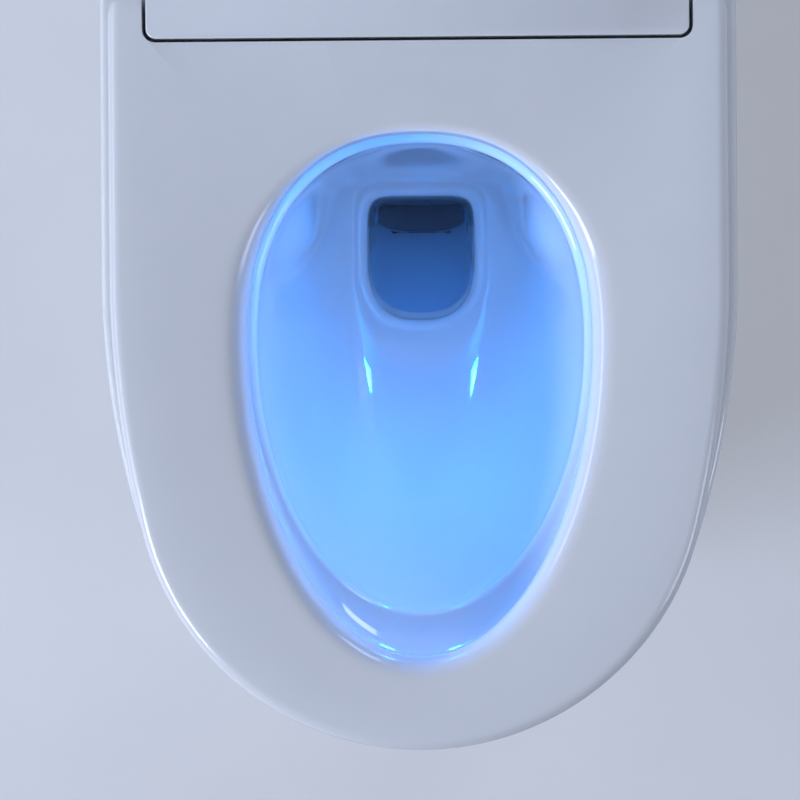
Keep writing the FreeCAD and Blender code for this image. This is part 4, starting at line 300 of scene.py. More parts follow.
def fit(piece, body, slot, finish, *nodes):
    """Gives a piece its body and its finish, and hides the nodes that it stands for."""
    piece.data.materials.clear()
    piece.data.materials.append(finish)
    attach(piece, body)
    if nodes:
        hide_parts(*nodes)
    return piece


# ------------------------------------------------------------------ materials
def linear(code):
    """An sRGB hex colour in linear light."""
    values = [int(code[start:start + 2], 16) / 255 for start in (1, 3, 5)]
    return tuple(v / 12.92 if v <= 0.04045 else ((v + 0.055) / 1.055) ** 2.4 for v in values) + (1,)


def add(tree, kind, settings=(), links=()):
    """Adds a node, with its settings (sockets or properties) and its links."""
    made = tree.nodes.new(kind)
    for name, value in dict(settings).items():
        if isinstance(name, int) or name in made.inputs:
            made.inputs[name].default_value = value
        else:
            setattr(made, name, value)
    for name, source in dict(links).items():
        tree.links.new(source, made.inputs[name])
    return made


def per(size):
    """A pattern's scale for features of a size in millimetres."""
    return 1 / (size * MM)


def blank(name):
    material = bpy.data.materials.new(name)
    material.use_nodes = True
    tree = material.node_tree
    tree.nodes.clear()
    output = add(tree, "ShaderNodeOutputMaterial")
    place = add(tree, "ShaderNodeTexCoord").outputs["Object"]
    return material, tree, output, place


def surface(name, colours, patch, rough, grain, depth, **fixed):
    """A finish with drifting colour, uneven roughness and a fine grain.

    colours: two hex colours; patch: size of the drift; rough: low and high; grain: its size; depth: its
    height, all in millimetres. The rest is set on the shader as it is.
    """
    material, tree, output, place = blank(name)
    drift = add(tree, "ShaderNodeTexNoise", {"Scale": per(patch), "Detail": 3}, {"Vector": place})
    colour = add(tree, "ShaderNodeMix", {"data_type": "RGBA", 6: linear(colours[0]), 7: linear(colours[1])},
                 {0: drift.outputs["Fac"]})
    uneven = add(tree, "ShaderNodeMapRange", {"From Min": 0.3, "From Max": 0.7, "To Min": rough[0],
                                              "To Max": rough[1]}, {"Value": drift.outputs["Fac"]})
    fine = add(tree, "ShaderNodeTexNoise", {"Scale": per(grain), "Detail": 2}, {"Vector": place})
    bump = add(tree, "ShaderNodeBump", {"Distance": depth * MM, "Strength": 1},
               {"Height": fine.outputs["Fac"]})
    shader = add(tree, "ShaderNodeBsdfPrincipled", fixed, {
        "Base Color": colour.outputs[2], "Roughness": uneven.outputs["Result"],
        "Normal": bump.outputs["Normal"],
    })
    tree.links.new(shader.outputs[0], output.inputs["Surface"])
    return material


# Vitreous china under a fired glaze: the glaze is glass over a white body, mirror smooth, and only the
# slow waviness of the firing bends its reflections.
GLAZE = surface("fired_glaze", ("#F3F4F2", "#EEF0EF"), 70, (0.035, 0.06), 28, 0.03,
                IOR=1.52, **{"Coat Weight": 0.6, "Coat Roughness": 0.03})
# Urea moulded in a polished tool: nearly as bright as the glaze, with softer reflections.
SEAT_UREA = surface("polished_urea", ("#F1F2F1", "#ECEEEE"), 45, (0.14, 0.19), 9, 0.008, IOR=1.55)
# Polypropylene of the lid, polished too, with the faint sink marks of a large moulding.
LID_PP = surface("polished_polypropylene", ("#F1F2F1", "#EDEEEE"), 60, (0.16, 0.22), 24, 0.02, IOR=1.49)
# ABS of the housing and the hinge cover: gloss with a very fine orange peel.
HOUSING_ABS = surface("gloss_abs", ("#EFF0F0", "#EAECEC"), 40, (0.17, 0.24), 3, 0.006, IOR=1.53)
# The same ABS from a grained tool, for the base that the unit stands on.
BASE_ABS = surface("grained_abs", ("#C9CBCC", "#C2C4C6"), 20, (0.42, 0.55), 0.9, 0.03, IOR=1.53)
# Acetal of the wands: slightly waxy white.
WAND_ACETAL = surface("white_acetal", ("#EDEEEC", "#E4E6E5"), 12, (0.25, 0.33), 1.4, 0.008, IOR=1.48)
GEAR_ACETAL = surface("natural_acetal", ("#E4E0D2", "#D9D5C6"), 8, (0.35, 0.45), 1.1, 0.01, IOR=1.48)
# The splash guard's satin polypropylene.
GUARD_PP = surface("satin_polypropylene", ("#DDE0E2", "#D4D8DB"), 25, (0.3, 0.4), 1.2, 0.012, IOR=1.49)
# Glass-filled nylon, spark-eroded: black, and dull where the fibres reach the skin.
BLACK_NYLON = surface("glass_filled_nylon", ("#17181A", "#222427"), 6, (0.5, 0.68), 0.7, 0.04, IOR=1.53)
# Polycarbonate over black print: the smoked display.
SMOKED_PC = surface("smoked_polycarbonate", ("#08090B", "#0B0D10"), 30, (0.05, 0.09), 20, 0.004, IOR=1.585)
# Thermoplastic elastomer: the bumpers are soft and greyish, with a powdery bloom.
BUMPER_TPE = surface("grey_elastomer", ("#BFC2C3", "#B1B5B7"), 5, (0.62, 0.78), 0.6, 0.03, IOR=1.5)
GASKET_EPDM = surface("black_epdm", ("#101112", "#1A1B1C"), 7, (0.6, 0.8), 0.8, 0.04, IOR=1.5)
HOSE_EPDM = surface("hose_epdm", ("#1C1D1F", "#26282A"), 9, (0.5, 0.66), 1.6, 0.08, IOR=1.5)
TANK_PP = surface("tank_polypropylene", ("#3A3E42", "#33373B"), 30, (0.4, 0.5), 1.6, 0.03, IOR=1.49)
# Stainless steel from the mill: metal grey, drawn lines too fine to see but for their sheen.
STEEL = surface("stainless_steel", ("#A9AAAB", "#969899"), 6, (0.26, 0.4), 0.5, 0.01, Metallic=1)
ZINC = surface("zinc_plate", ("#B7B9B6", "#9FA2A0"), 5, (0.3, 0.45), 0.8, 0.015, Metallic=1)
BRASS = surface("turned_brass", ("#C9A45C", "#B58F49"), 5, (0.22, 0.34), 0.5, 0.012, Metallic=1)
CHROME = surface("bright_chrome", ("#D9DCDF", "#CFD3D6"), 20, (0.05, 0.09), 8, 0.002, Metallic=1)
FOIL = surface("aluminium_foil", ("#D4D6D8", "#BFC2C4"), 8, (0.2, 0.36), 3, 0.12, Metallic=1)
WIRE_SILICONE = surface("red_silicone", ("#A8341F", "#93291A"), 5, (0.5, 0.6), 0.5, 0.01, IOR=1.41)
SOLDER_MASK = surface("solder_mask", ("#0E4A26", "#135B30"), 3, (0.25, 0.5), 1.5, 0.06, IOR=1.5)
CARBON = surface("activated_carbon", ("#0D0D0D", "#1D1D1D"), 2, (0.8, 0.95), 0.9, 0.3, IOR=1.5)


LAMP_PITCH = 12.6       # spacing of the lamps behind a lens
LAMP_BLUE = "#228AFF"
LAMP_STRENGTH = 700
LAMP_FORWARD = 0.25     # light to the front as a share of that below


def lamp_lens():
    """Opal acrylic over a row of blue lamps that aim down: brighter below and in front of each lamp."""
    material, tree, output, place = blank("lit_opal_acrylic")
    split = add(tree, "ShaderNodeSeparateXYZ", links={0: place})
    turn = add(tree, "ShaderNodeMath", {"operation": "MULTIPLY", 1: 2 * math.pi / (LAMP_PITCH * MM)},
               {0: split.outputs["X"]})
    wave = add(tree, "ShaderNodeMath", {"operation": "COSINE"}, {0: turn.outputs[0]})
    glow = add(tree, "ShaderNodeMapRange", {"From Min": -1, "From Max": 1, "To Min": 0.75, "To Max": 1},
               {"Value": wave.outputs[0]})
    side = add(tree, "ShaderNodeNewGeometry")
    facing = add(tree, "ShaderNodeSeparateXYZ", links={0: side.outputs["Normal"]})
    below = add(tree, "ShaderNodeMapRange",
                {"From Min": 0, "From Max": -1, "To Min": LAMP_FORWARD, "To Max": 1},
                {"Value": facing.outputs["Z"]})
    share = add(tree, "ShaderNodeMath", {"operation": "MULTIPLY"},
                {0: glow.outputs["Result"], 1: below.outputs["Result"]})
    light = add(tree, "ShaderNodeMix", {"data_type": "RGBA", 6: (0, 0, 0, 1), 7: linear(LAMP_BLUE)},
                {0: share.outputs[0]})
    shader = add(tree, "ShaderNodeBsdfPrincipled",
                 {"Base Color": linear("#9EC4FF"), "Roughness": 0.3, "IOR": 1.49,
                  "Emission Strength": LAMP_STRENGTH},
                 {"Emission Color": light.outputs[2]})
    tree.links.new(shader.outputs[0], output.inputs["Surface"])
    return material


LENS_OPAL = lamp_lens()


def clear_water():
    """Still water seen from above: clear, with a mirror at low angles and a few slow ripples."""
    material, tree, output, place = blank("trap_water")
    ripple = add(tree, "ShaderNodeTexNoise", {"Scale": per(30), "Detail": 1}, {"Vector": place})
    bump = add(tree, "ShaderNodeBump", {"Distance": 0.5 * MM, "Strength": 1},
               {"Height": ripple.outputs["Fac"]})
    clear = add(tree, "ShaderNodeBsdfTransparent", {"Color": linear("#E6F5FF")})
    mirror = add(tree, "ShaderNodeBsdfGlossy", {"Roughness": 0.03}, {"Normal": bump.outputs["Normal"]})
    facing = add(tree, "ShaderNodeFresnel", {"IOR": 1.333}, {"Normal": bump.outputs["Normal"]})
    side = add(tree, "ShaderNodeNewGeometry")
    outer = add(tree, "ShaderNodeMath", {"operation": "SUBTRACT", 0: 1}, {1: side.outputs["Backfacing"]})
    sheen = add(tree, "ShaderNodeMath", {"operation": "MULTIPLY"},
                {0: facing.outputs[0], 1: outer.outputs[0]})
    both = add(tree, "ShaderNodeMixShader", {},
               {0: sheen.outputs[0], 1: clear.outputs[0], 2: mirror.outputs[0]})
    tree.links.new(both.outputs[0], output.inputs["Surface"])
    return material


WATER = clear_water()


# ------------------------------------------------------------------ the ceramic body
SKIRT_LEVELS = (0, 230, RIM)
SKIRT_HALF = (153, 181, SKIRT_HIGH.x)
SKIRT_TIP = (TIP + 98, TIP + 30, TIP + 1.5)
SKIRT_TURNS = ray_turns(62, 72)


def skirt_ring(z, inset=0):
    """The skirt's plan at a height, moved inwards."""
    half = lagrange(z, SKIRT_LEVELS, SKIRT_HALF) - inset
    tip = lagrange(z, SKIRT_LEVELS, SKIRT_TIP) + inset
    corner = max(BACK_CORNER - inset, 4)
    return cast(half_outline(half, tip, BACK - inset, NOSE_INSET, corner), SKIRT_TURNS)


def opening_ring(margin):
    return egg(grown(OPENING, margin), OPENING_CENTRE, OPENING_SQUARE, SKIRT_TURNS)


def ledge_ring(margin):
    return egg(grown(LEDGE, margin), OPENING_CENTRE, OPENING_SQUARE, SKIRT_TURNS)


def sump_ring(margin):
    return egg(grown(SUMP, margin), SUMP_CENTRE, SUMP_SQUARE, SKIRT_TURNS)


def basin_ring(share, wall=0):
    """The basin at a share of its depth, from the ledge's edge to the sump's mouth."""
    fullness = (1 - share ** BOWL_FULLNESS) ** (1 / BOWL_FULLNESS)

    def between(sump, ledge):
        return sump + (ledge - sump) * fullness
    sizes = [between(low + SUMP_ROUND + wall, high + wall) for low, high in zip(SUMP, LEDGE)]
    square = [between(low, high) for low, high in zip(SUMP_SQUARE, OPENING_SQUARE)]
    centre = between(SUMP_CENTRE, OPENING_CENTRE)
    ring = egg(sizes, centre, square, SKIRT_TURNS)
    return ring if wall else [lobed(point, centre, share) for point in ring]


def lobed(point, centre, share):
    """The basin swells inwards on both sides of the sump."""
    x, y = point
    turn = math.degrees(math.atan2(y - centre, abs(x)))
    swell = LOBE * math.exp(-((turn - LOBE_TURN) / LOBE_SPREAD) ** 2) * math.sin(math.pi * share) ** 2
    reach = math.hypot(x, y - centre)
    return (x * (1 - swell / reach), centre + (y - centre) * (1 - swell / reach))


# The sump falls back to the trap: height, centre line, half width, reach ahead and behind.
SUMP_FALL = (
    (71, -43.5, 29, 8.5, 9.5), (75, -43.5, 31, 9.5, 10.5), (111, -43.5, 31, 9.5, 10.5),
    (115, -43.9, 31.1, 10, 10.9), (118, -45, 31.4, 11.4, 11.9), (122, -47.5, 32, 14.5, 14.3),
    (130, -53, 33, 21, 19.5), (141, -60, 34, 28.5, 26.2), (154, -66, 35, 34.5, 32),
    (168, -72, 36.2, 40, 38.5), (176, -75, 36.8, 42.4, 41.7),
)


def quarter(count):
    """Cosine and sine at even steps through a quarter turn, without its start."""
    turns = [math.radians(angle) for angle in spaced(0, 90, count)[1:]]
    return [(math.cos(turn), math.sin(turn)) for turn in turns]


def bowl_space():
    """Rings round the bowl's hollow, from the sump's floor up through the rim."""
    rings = [level(egg((half, ahead, behind), centre, SUMP_SQUARE, SKIRT_TURNS), z)
             for z, centre, half, ahead, behind in SUMP_FALL]
    rings.append(level(sump_ring(0), SUMP_Z - SUMP_ROUND))
    for cosine, sine in quarter(6)[:-1]:
        rings.append(level(sump_ring(SUMP_ROUND * (1 - cosine)), SUMP_Z - SUMP_ROUND * (1 - sine)))
    foot = LEDGE_Z - LEDGE_ROUND
    for step in spaced(0, 90, 32):
        share = math.cos(math.radians(step))
        rings.append(level(basin_ring(share), foot + (SUMP_Z - foot) * share))
    for cosine, sine in quarter(5):
        rings.append(level(ledge_ring(LEDGE_ROUND * (1 - cosine)), foot + LEDGE_ROUND * sine))
    outer = opening_ring(MOUTH_MARGIN)
    inner = ledge_ring(LEDGE_ROUND)
    for share, rise in LEDGE_RISE:
        band = [(a[0] + (b[0] - a[0]) * share, a[1] + (b[1] - a[1]) * share) for a, b in zip(inner, outer)]
        rings.append(level(band, LEDGE_Z + rise))
    rings.append(level(outer, LEDGE_Z + 28))
    rings.append(level(outer, RIM - MOUTH_ROUND))
    for cosine, sine in quarter(5):
        rings.append(level(opening_ring(MOUTH_MARGIN + MOUTH_ROUND * (1 - cosine)),
                           RIM - MOUTH_ROUND * (1 - sine)))
    rings.append(level(opening_ring(MOUTH_MARGIN + MOUTH_ROUND), RIM + 5))
    return rings


def skirt_outside():
    """Rings from the middle of the rim's level, out to its edge and down the skirt to the floor."""
    rings = [level(opening_ring(-60), RIM)]
    rings.append(level(skirt_ring(RIM, RIM_ROUND + 3), RIM))
    for cosine, sine in reversed(quarter(5)):
        rings.append(level(skirt_ring(RIM - RIM_ROUND * (1 - sine), RIM_ROUND * (1 - cosine)),
                           RIM - RIM_ROUND * (1 - sine)))
    rings += [level(skirt_ring(z), z) for z in spaced(RIM - RIM_ROUND, 3, 24)]
    rings += [level(skirt_ring(1, 1), 1), level(skirt_ring(0, 3), 0)]
    return rings


def skirt_inside():
    """Rings from the foot's inner edge up under the rim, then down the bowl's outside."""
    rings = [level(skirt_ring(z, WALL), z) for z in spaced(0, RIM - WALL, 8)]
    rings.append(level(opening_ring(MOUTH_MARGIN + BOWL_WALL), RIM - WALL))
    rings.append(level(opening_ring(MOUTH_MARGIN + BOWL_WALL), LEDGE_Z - BOWL_WALL))
    foot = LEDGE_Z - BOWL_WALL
    for share in (0, 0.15, 0.35, 0.6, 0.8, 0.93, 1):
        rings.append(level(basin_ring(share, BOWL_WALL), foot + (SUMP_Z - BOWL_WALL - foot) * share))
    rings.append(level(sump_ring(BOWL_WALL), SUMP_Z - BOWL_WALL - SUMP_ROUND))
    rings.append(level(sump_ring(BOWL_WALL - 4), SUMP_FLOOR - 10))
    return rings


# The corners of the trapway's centreline, from the sump to the floor.
TRAP = ((0, -76, 101), (0, -34, 101), (0, 28, 205), (0, 104, 205), (0, 104, 52), (0, 0, 52), (0, 0, -2))
TRAP_BEND = 40
TRAP_INSIDE = 27
TRAP_OUTSIDE = 36


def trap_tube(name, radius, start_at, low):
    """The trapway's tube: straight runs joined by bends."""
    corners = [Vector(point) for point in TRAP]
    corners[0].y = start_at
    corners[-1].z = low
    path = [corners[0]]
    for before, corner, after in zip(corners, corners[1:], corners[2:]):
        into, out = (corner - before).normalized(), (after - corner).normalized()
        reach = TRAP_BEND * math.tan(into.angle(out) / 2)
        first, last = corner - into * reach, corner + out * reach
        for step in spaced(0, 1, 10):
            path.append(first.lerp(corner, step).lerp(corner.lerp(last, step), step))
    path.append(corners[-1])
    rings = []
    for number, point in enumerate(path):
        before, after = path[max(number - 1, 0)], path[min(number + 1, len(path) - 1)]
        way = (after - before).normalized()
        side = Vector((1, 0, 0))
        up = side.cross(way)
        rings.append([(point + (side * math.cos(turn) + up * math.sin(turn)) * radius) * MM
                      for turn in (2 * math.pi * step / 40 for step in range(40))])
    return skin(name, rings)


def ceramic():
    """One body: the skirt, the deck and the trapway, with the bowl and the unit's bay let into it."""
    piece = skin("glazed_body", skirt_outside() + skirt_inside())
    bay = GUARD_HIGH.x + 4
    combine(piece, block("deck", (-bay - WALL, -30, DECK_Z - WALL), (bay + WALL, 100, RIM - 1)), "UNION")
    for side in (-1, 1):
        cheek = sorted((side * (bay - 30), side * (bay + WALL)))
        combine(piece, block("cheek", (cheek[0], BAY_FRONT - WALL, DECK_Z - WALL),
                             (cheek[1], -29, RIM - 1)), "UNION")
    combine(piece, trap_tube("trap", TRAP_OUTSIDE, -60, 10), "UNION")
    combine(piece, rod("socket", "z", 49, (0, 0, 18), 36), "UNION")
    combine(piece, skin("bowl_space", bowl_space()))
    bay_space = block("bay", (-bay, BAY_FRONT, DECK_Z), (bay, 101, RIM + 5))
    bevel_where(bay_space, lambda a, b: abs(a.z - b.z) < 1 and min(a.z, b.z) < DECK_Z + 1, 6, 4)
    combine(piece, bay_space)
    combine(piece, block("cavity", (-150, 100, RIM - WALL - 1), (150, 250, RIM + 1)))
    notch = block("notch", (-75, BACK - WALL - 2, -2), (75, BACK + 2, 140))
    bevel_where(notch, lambda a, b: abs(a.y - b.y) > 1 and min(a.z, b.z) > 100, 12, 6)
    combine(piece, notch)
    combine(piece, trap_tube("trap_bore", TRAP_INSIDE, -48, -2))
    combine(piece, rod("socket_bore", "z", 40, (0, 0, 12), 26))
    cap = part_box("screw_caps")[1].x / MM
    for side in (-1, 1):
        combine(piece, rod("cap_seat", "x", 9.2, (side * (cap + 6), 165, 42), 20))
    smooth(piece, 40)
    return fit(piece, "root", "glazed_ceramic", GLAZE, "ceramic_body")


def trap_water():
    """The water that stands in the sump."""
    shape = egg((35.8, 40.6, 39.4), -73.4, SUMP_SQUARE, SKIRT_TURNS)
    piece = skin("trap_water", [level(shape, WATER_Z - 1), level(shape, WATER_Z)])
    return fit(smooth(piece), "root", "glazed_ceramic", WATER)


ceramic()
trap_water()


# ------------------------------------------------------------------ the seat
SEAT_TURNS = ray_turns(48, 56)
KNUCKLE = (SEAT_HIGH.z - SEAT_LOW.z) / 2
SEAT_ROUND = 8
SEAT_DISH = 1.2         # how far the top falls towards the opening


def seat_outline(inset, back, corner=6):
    return cast(half_outline(SEAT_HALF - inset, TIP + inset, back, SEAT_NOSE_INSET, corner), SEAT_TURNS)


def seat_opening(margin):
    return egg(grown(OPENING, margin), OPENING_CENTRE, OPENING_SQUARE, SEAT_TURNS)


def lip_radius(y):
    """The lip is rounded broadly at the sides and front, and more tightly at the rear."""
    share = min(max((y - OPENING_CENTRE - 40) / 80, 0), 1)
    return 15 - 9 * share * share * (3 - 2 * share)


def lip_rings():
    """Rings from the seat's top over its lip and down the inner wall."""
    rings = []
    edge = seat_opening(0)
    out = seat_opening(1)
    for angle in (-12, 0, 12, 24, 36, 48, 60, 72, 82, 90):
        turn = math.radians(max(angle, 0))
        ring = []
        for (x, y), (outer_x, outer_y) in zip(edge, out):
            radius = lip_radius(y)
            margin = radius * (1 - math.sin(turn)) + (4 if angle < 0 else 0)
            drop = radius * (1 - math.cos(turn)) + (SEAT_DISH if angle >= 0 else SEAT_DISH * 0.8)
            ring.append(Vector((x + (outer_x - x) * margin, y + (outer_y - y) * margin,
                                SEAT_HIGH.z - drop)) * MM)
        rings.append(ring)
    rings.append(level(edge, SEAT_LOW.z + 1.2))
    rings.append(level(seat_opening(1.2), SEAT_LOW.z))
    return rings


def seat():
    """The seat's whole form, before its rear is cut for the hinge."""
    back = SEAT_HIGH.y
    rings = [level(seat_outline(1.2, back - 1.2), SEAT_LOW.z), level(seat_outline(0, back), SEAT_LOW.z + 1.2)]
    side = SEAT_HIGH.z - SEAT_ROUND
    rings.append(level(seat_outline(0, back), side))
    for cosine, sine in quarter(6):
        rings.append(level(seat_outline(SEAT_ROUND * (1 - cosine), back),
                           side + SEAT_ROUND * sine - 0.4 * sine))
    outer = seat_outline(SEAT_ROUND + 14, back)
    rings.append(level(outer, SEAT_HIGH.z))
    inner = seat_opening(34)
    middle = [(a[0] * 0.5 + b[0] * 0.5, a[1] * 0.5 + b[1] * 0.5) for a, b in zip(outer, inner)]
    rings.append(level(middle, SEAT_HIGH.z - 0.1))
    rings += lip_rings()
    return skin("moulded_seat", rings + [rings[0]])


def seat_piece():
    """The seat, cut round the hinge cover, the lid's arms and the knuckles, and hollow underneath."""
    piece = seat()
    notch = block("notch", (-COVER_HIGH.x - COVER_GAP, COVER_LOW.y - COVER_GAP, SEAT_LOW.z - 5),
                  (COVER_HIGH.x + COVER_GAP, 200, SEAT_HIGH.z + 5))
    bevel_where(notch, lambda a, b: abs(a.z - b.z) > 1 and max(a.y, b.y) < COVER_LOW.y, 8.5, 6)
    combine(piece, notch)
    arm = COVER_HIGH.x + COVER_GAP + SEAT_ARM
    for side in (-1, 1):
        ends = sorted((side * arm, side * (SEAT_HALF + 5)))
        combine(piece, block("pocket", (ends[0], 78, SEAT_LOW.z - 5), (ends[1], 200, SEAT_HIGH.z + 5)))
    corners = block("behind", (-250, HINGE.y, SEAT_LOW.z - 5), (250, 200, SEAT_HIGH.z + 5))
    combine(corners, rod("knuckle", "x", KNUCKLE, (0, HINGE.y, HINGE.z), 600, 96))
    combine(piece, corners)
    outer = seat_outline(3.2, 38)
    inner = seat_opening(3.2)
    under, roof = SEAT_LOW.z - 2, SEAT_LOW.z + 3.7
    combine(piece, skin("under", [level(outer, under), level(outer, roof), level(inner, roof),
                                  level(inner, under), level(outer, under)]))
    soften(piece, 0.8, 2, 50)
    smooth(piece, 40)
    return fit(piece, "seat", "seat_plastic", SEAT_UREA, "seat_shell", "seat_arms")


seat_piece()


# ------------------------------------------------------------------ the lid
LID_LOW_Z = SEAT_HIGH.z + 3
LID_HEIGHT = 18
LID_TURNS = ray_turns(48, 56)
LID_ANGLE = -95
LID_ARM = 11


def lid_piece():
    """Modelled closed over the seat, then swung open about the hinge."""
    back = HINGE.y + LID_ARM

    def ring(inset, z, scale=1):
        points = cast(half_outline(SEAT_HALF - inset, TIP + inset, back - min(inset, 9),
                                   SEAT_NOSE_INSET, 10), LID_TURNS)
        return level([(x * scale, OPENING_CENTRE + (y - OPENING_CENTRE) * scale) for x, y in points], z)
    top = LID_LOW_Z + LID_HEIGHT
    rings = [ring(0, LID_LOW_Z, share) for share in (0.02, 0.5, 0.9)]
    rings.append(ring(2, LID_LOW_Z))
    rings += [ring(2 * (1 - sine), LID_LOW_Z + 2 * (1 - cosine)) for cosine, sine in quarter(3)]
    rings.append(ring(0, top - 9 - 1))
    rings += [ring(9 * (1 - cosine), top - 10 + 9 * sine) for cosine, sine in quarter(6)]
    rings += [ring(12, top - 0.9), ring(30, top - 0.5)]
    rings += [ring(30, top - 0.5 * share, share) for share in (0.85, 0.6, 0.3, 0.02)]
    piece = skin("moulded_lid", rings)
    arm_inner = COVER_HIGH.x + COVER_GAP + SEAT_ARM + ARM_GAP
    for side in (-1, 1):
        middle = side * (arm_inner + SEAT_HALF) / 2
        length = SEAT_HALF - arm_inner
        combine(piece, rod("arm", "x", LID_ARM, (middle, HINGE.y, HINGE.z), length), "UNION")
        ends = sorted((side * arm_inner, side * SEAT_HALF))
        combine(piece, block("web", (ends[0], HINGE.y - LID_ARM, HINGE.z),
                             (ends[1], HINGE.y + LID_ARM - 5, LID_LOW_Z + 3)), "UNION")
    outline = cast(half_outline(SEAT_HALF - 3, TIP + 3, 78, SEAT_NOSE_INSET, 10), LID_TURNS)
    combine(piece, skin("under", [level(outline, LID_LOW_Z - 2), level(outline, LID_LOW_Z + 3.2)]))
    soften(piece, 0.8, 2, 50)
    swing = Matrix.Rotation(math.radians(LID_ANGLE), 4, "X")
    hinge = Matrix.Translation(Vector((0, HINGE.y, HINGE.z)) * MM)
    piece.data.transform(hinge @ swing @ hinge.inverted())
    smooth(piece, 40)
    return fit(piece, "lid", "lid_plastic", LID_PP, "lid_shell", "lid_arms")


lid_piece()


# ------------------------------------------------------------------ the unit behind the seat
def cover_piece():
    """The hinge cover: soft front corners, a broad round at the back for the lid's arms."""
    piece = block("hinge_cap", COVER_LOW, COVER_HIGH)
    bevel_where(piece, lambda a, b: abs(a.z - b.z) > 1 and max(a.y, b.y) < COVER_LOW.y + 1, 6, 6)
    bevel_where(piece, lambda a, b: min(a.z, b.z) > COVER_HIGH.z - 0.1 and min(a.y, b.y) > COVER_HIGH.y - 0.1,
                13, 10)
    soften(piece, 1.2, 3, 50)
    smooth(piece, 40)
    return fit(piece, "root", "housing_plastic", HOUSING_ABS, "hinge_cover")


HOUSING_LEAN = 7        # how far the front wall leans back at its top


def housing_piece():
    """The rear housing: a front wall that leans back, soft edges, recesses and holes."""
    piece = block("rear_cover", HOUSING_LOW, HOUSING_HIGH)
    for vertex in piece.data.vertices:
        if vertex.co.y < HOUSING_LOW.y * MM + 1e-4 and vertex.co.z > HOUSING_HIGH.z * MM - 1e-4:
            vertex.co.y += HOUSING_LEAN * MM
    foot = HOUSING_LOW.z
    bevel_where(piece, lambda a, b: max(a.z, b.z) > foot + 1, 9, 8)
    for side in (-1, 1):
        space = block("recess", (side * PORT_X - 33, HOUSING_HIGH.y - 30, foot - 2),
                      (side * PORT_X + 33, HOUSING_HIGH.y + 2, foot + 50))
        bevel_where(space, lambda a, b: abs(a.y - b.y) > 1 and min(a.z, b.z) > foot + 10, 4, 4)
        combine(piece, space)
    knob = (KNOB_LOW + KNOB_HIGH) / 2
    button = (BUTTON_LOW + BUTTON_HIGH) / 2
    combine(piece, rod("knob_hole", "x", 5, (HOUSING_HIGH.x, knob.y, knob.z), 8))
    combine(piece, rod("button_hole", "x", 9.4, (HOUSING_HIGH.x, button.y, button.z), 8))
    combine(piece, rod("inlet_hole", "y", 8.2, (-PORT_X, HOUSING_HIGH.y - 30, PORT_Z), 8))
    combine(piece, rod("gland_hole", "y", 8.2, (PORT_X, HOUSING_HIGH.y - 30, PORT_Z), 8))
    combine(piece, block("window_hole", (WINDOW_LOW.x + 3, WINDOW_LOW.y + 3, HOUSING_HIGH.z - 3.2),
                         (WINDOW_HIGH.x - 3, WINDOW_HIGH.y - 3, HOUSING_HIGH.z + 2)))
    soften(piece, 0.5, 2, 60)
    smooth(piece, 40)
    return fit(piece, "root", "housing_plastic", HOUSING_ABS, "rear_housing")


LENS_INNER = 80.3       # a lens's inner end off centre
LENS_BULGE = 6


def lens_piece():
    """The two night light lenses, which bulge from the guard and light the bowl below them too."""
    front = LENS_LOW.y - LENS_BULGE
    pieces = []
    for side in (-1, 1):
        ends = sorted((side * LENS_INNER, side * LENS_HIGH.x))
        piece = block("night_light", (ends[0], front, LENS_LOW.z), (ends[1], LENS_HIGH.y, LENS_HIGH.z))
        bevel_where(piece, lambda a, b: max(a.y, b.y) < front + 0.1, LENS_BULGE - 0.2, 6)
        pieces.append(piece)
    combine(pieces[0], pieces[1], "UNION")
    smooth(pieces[0], 40)
    return fit(pieces[0], "root", "light_lens", LENS_OPAL, "night_light_lenses")


cover_piece()
housing_piece()
lens_piece()


# ------------------------------------------------------------------ finishes of the nodes that stay
FINISHES = {
    "glazed_ceramic": GLAZE, "seat_plastic": SEAT_UREA, "lid_plastic": LID_PP,
    "housing_plastic": HOUSING_ABS, "base_plastic": BASE_ABS, "wand_plastic": WAND_ACETAL,
    "guard_plastic": GUARD_PP, "black_plastic": BLACK_NYLON, "display": SMOKED_PC,
    "light_lens": LENS_OPAL, "bumper_rubber": BUMPER_TPE, "gasket_rubber": GASKET_EPDM,
    "hose_rubber": HOSE_EPDM, "steel": STEEL, "brass": BRASS, "chrome": CHROME, "foil": FOIL,
    "wire": WIRE_SILICONE, "circuit_board": SOLDER_MASK, "motor_metal": ZINC, "tank_plastic": TANK_PP,
    "gear_plastic": GEAR_ACETAL, "carbon": CARBON, "heater_steel": STEEL,
}
for part in frame["record"]["subparts"]:
    mesh = NODES[part["node"]].data
    mesh.materials.clear()
    mesh.materials.append(FINISHES[part["material_slot"]])


# ------------------------------------------------------------------ floor, light and camera
FLOOR_PALE = 0.2        # light added to the floor for the camera alone, as the room light is dim
ROOM_COOL = "#DCE6FF"
ROOM_LEVEL = 0.13
CAMERA_PLACE = (12.6, -175.5)
CAMERA_ABOVE = 2000     # camera over the seat
CAMERA_SHIFT = 25       # how far left of the camera it aims
CAMERA_ROLL = -0.42


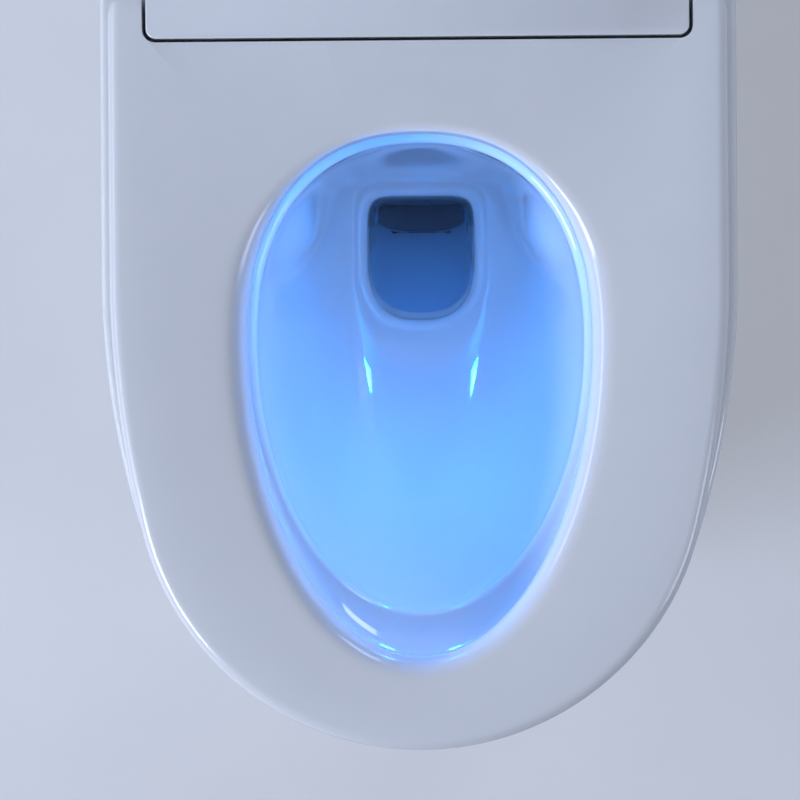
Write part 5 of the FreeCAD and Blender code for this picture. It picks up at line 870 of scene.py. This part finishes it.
def stage_floor():
    bpy.ops.mesh.primitive_plane_add(size=8, location=(0, 0, -0.0005))
    floor = bpy.context.object
    floor.name = "studio_floor"
    only(floor)
    bpy.ops.object.transform_apply(location=True, rotation=True, scale=True)
    material, tree, output, place = blank("matt_floor")
    mottle = add(tree, "ShaderNodeTexNoise", {"Scale": per(120), "Detail": 4}, {"Vector": place})
    colour = add(tree, "ShaderNodeMix", {"data_type": "RGBA", 6: linear("#C9CCD1"), 7: linear("#D2D5D9")},
                 {0: mottle.outputs["Fac"]})
    shader = add(tree, "ShaderNodeBsdfPrincipled", {"Roughness": 0.7}, {"Base Color": colour.outputs[2]})
    seen = add(tree, "ShaderNodeLightPath")
    pale = add(tree, "ShaderNodeMath", {"operation": "MULTIPLY", 1: FLOOR_PALE},
               {0: seen.outputs["Is Camera Ray"]})
    glow = add(tree, "ShaderNodeEmission", {"Color": linear("#E9E6DF")}, {"Strength": pale.outputs[0]})
    both = add(tree, "ShaderNodeAddShader", {}, {0: shader.outputs[0], 1: glow.outputs[0]})
    tree.links.new(both.outputs[0], output.inputs["Surface"])
    floor.data.materials.append(material)


def lamp(name, place, aim, size, watts, colour):
    """A soft rectangular studio lamp turned towards a point."""
    bpy.ops.object.light_add(type="AREA", location=place)
    light = bpy.context.object
    light.name = name
    light.data.shape = "RECTANGLE"
    light.data.size, light.data.size_y = size
    light.data.energy = watts
    light.data.color = linear(colour)[:3]
    light.rotation_euler = (Vector(aim) - Vector(place)).to_track_quat("-Z", "Y").to_euler()


def world():
    """A dim cool room, seen as a pale backdrop by the camera and through clear plastics."""
    sky = bpy.data.worlds.new("studio")
    bpy.context.scene.world = sky
    sky.use_nodes = True
    tree = sky.node_tree
    tree.nodes.clear()
    output = add(tree, "ShaderNodeOutputWorld")
    room = add(tree, "ShaderNodeBackground", {"Color": linear(ROOM_COOL), "Strength": ROOM_LEVEL})
    backdrop = add(tree, "ShaderNodeBackground", {"Color": linear("#E4E7EB"), "Strength": 1})
    ray = add(tree, "ShaderNodeLightPath")
    seen = add(tree, "ShaderNodeMath", {"operation": "MAXIMUM"},
               {0: ray.outputs["Is Camera Ray"], 1: ray.outputs["Is Transmission Ray"]})
    both = add(tree, "ShaderNodeMixShader", {},
               {0: seen.outputs[0], 1: room.outputs[0], 2: backdrop.outputs[0]})
    tree.links.new(both.outputs[0], output.inputs["Surface"])


def camera():
    """Nearly straight above the seat, as the photograph was taken, with its top towards the hinge."""
    bpy.ops.object.camera_add(location=Vector((*CAMERA_PLACE, SEAT_HIGH.z + CAMERA_ABOVE)) * MM)
    view = bpy.context.object
    view.data.lens = 144
    view.data.sensor_width = 36
    view.rotation_euler = (0, math.atan(CAMERA_SHIFT / CAMERA_ABOVE), math.radians(CAMERA_ROLL))
    bpy.context.scene.camera = view


stage_floor()
world()
lamp("key", (-2.1, -1.3, 1.75), (0, -0.1, 0.35), (1.2, 0.8), 50, ROOM_COOL)
lamp("fill", (2.2, -1.0, 1.5), (0, -0.1, 0.35), (1.0, 1.0), 16, ROOM_COOL)
lamp("rear", (1.2, 2.0, 1.8), (0, 0, 0.4), (1.2, 0.6), 16, ROOM_COOL)
lamp("left_strip", (-2.0, -0.1, 1.1), (0, -0.1, 0.4), (1.8, 0.1), 12, ROOM_COOL)
camera()
bpy.context.scene.view_settings.view_transform = "Standard"
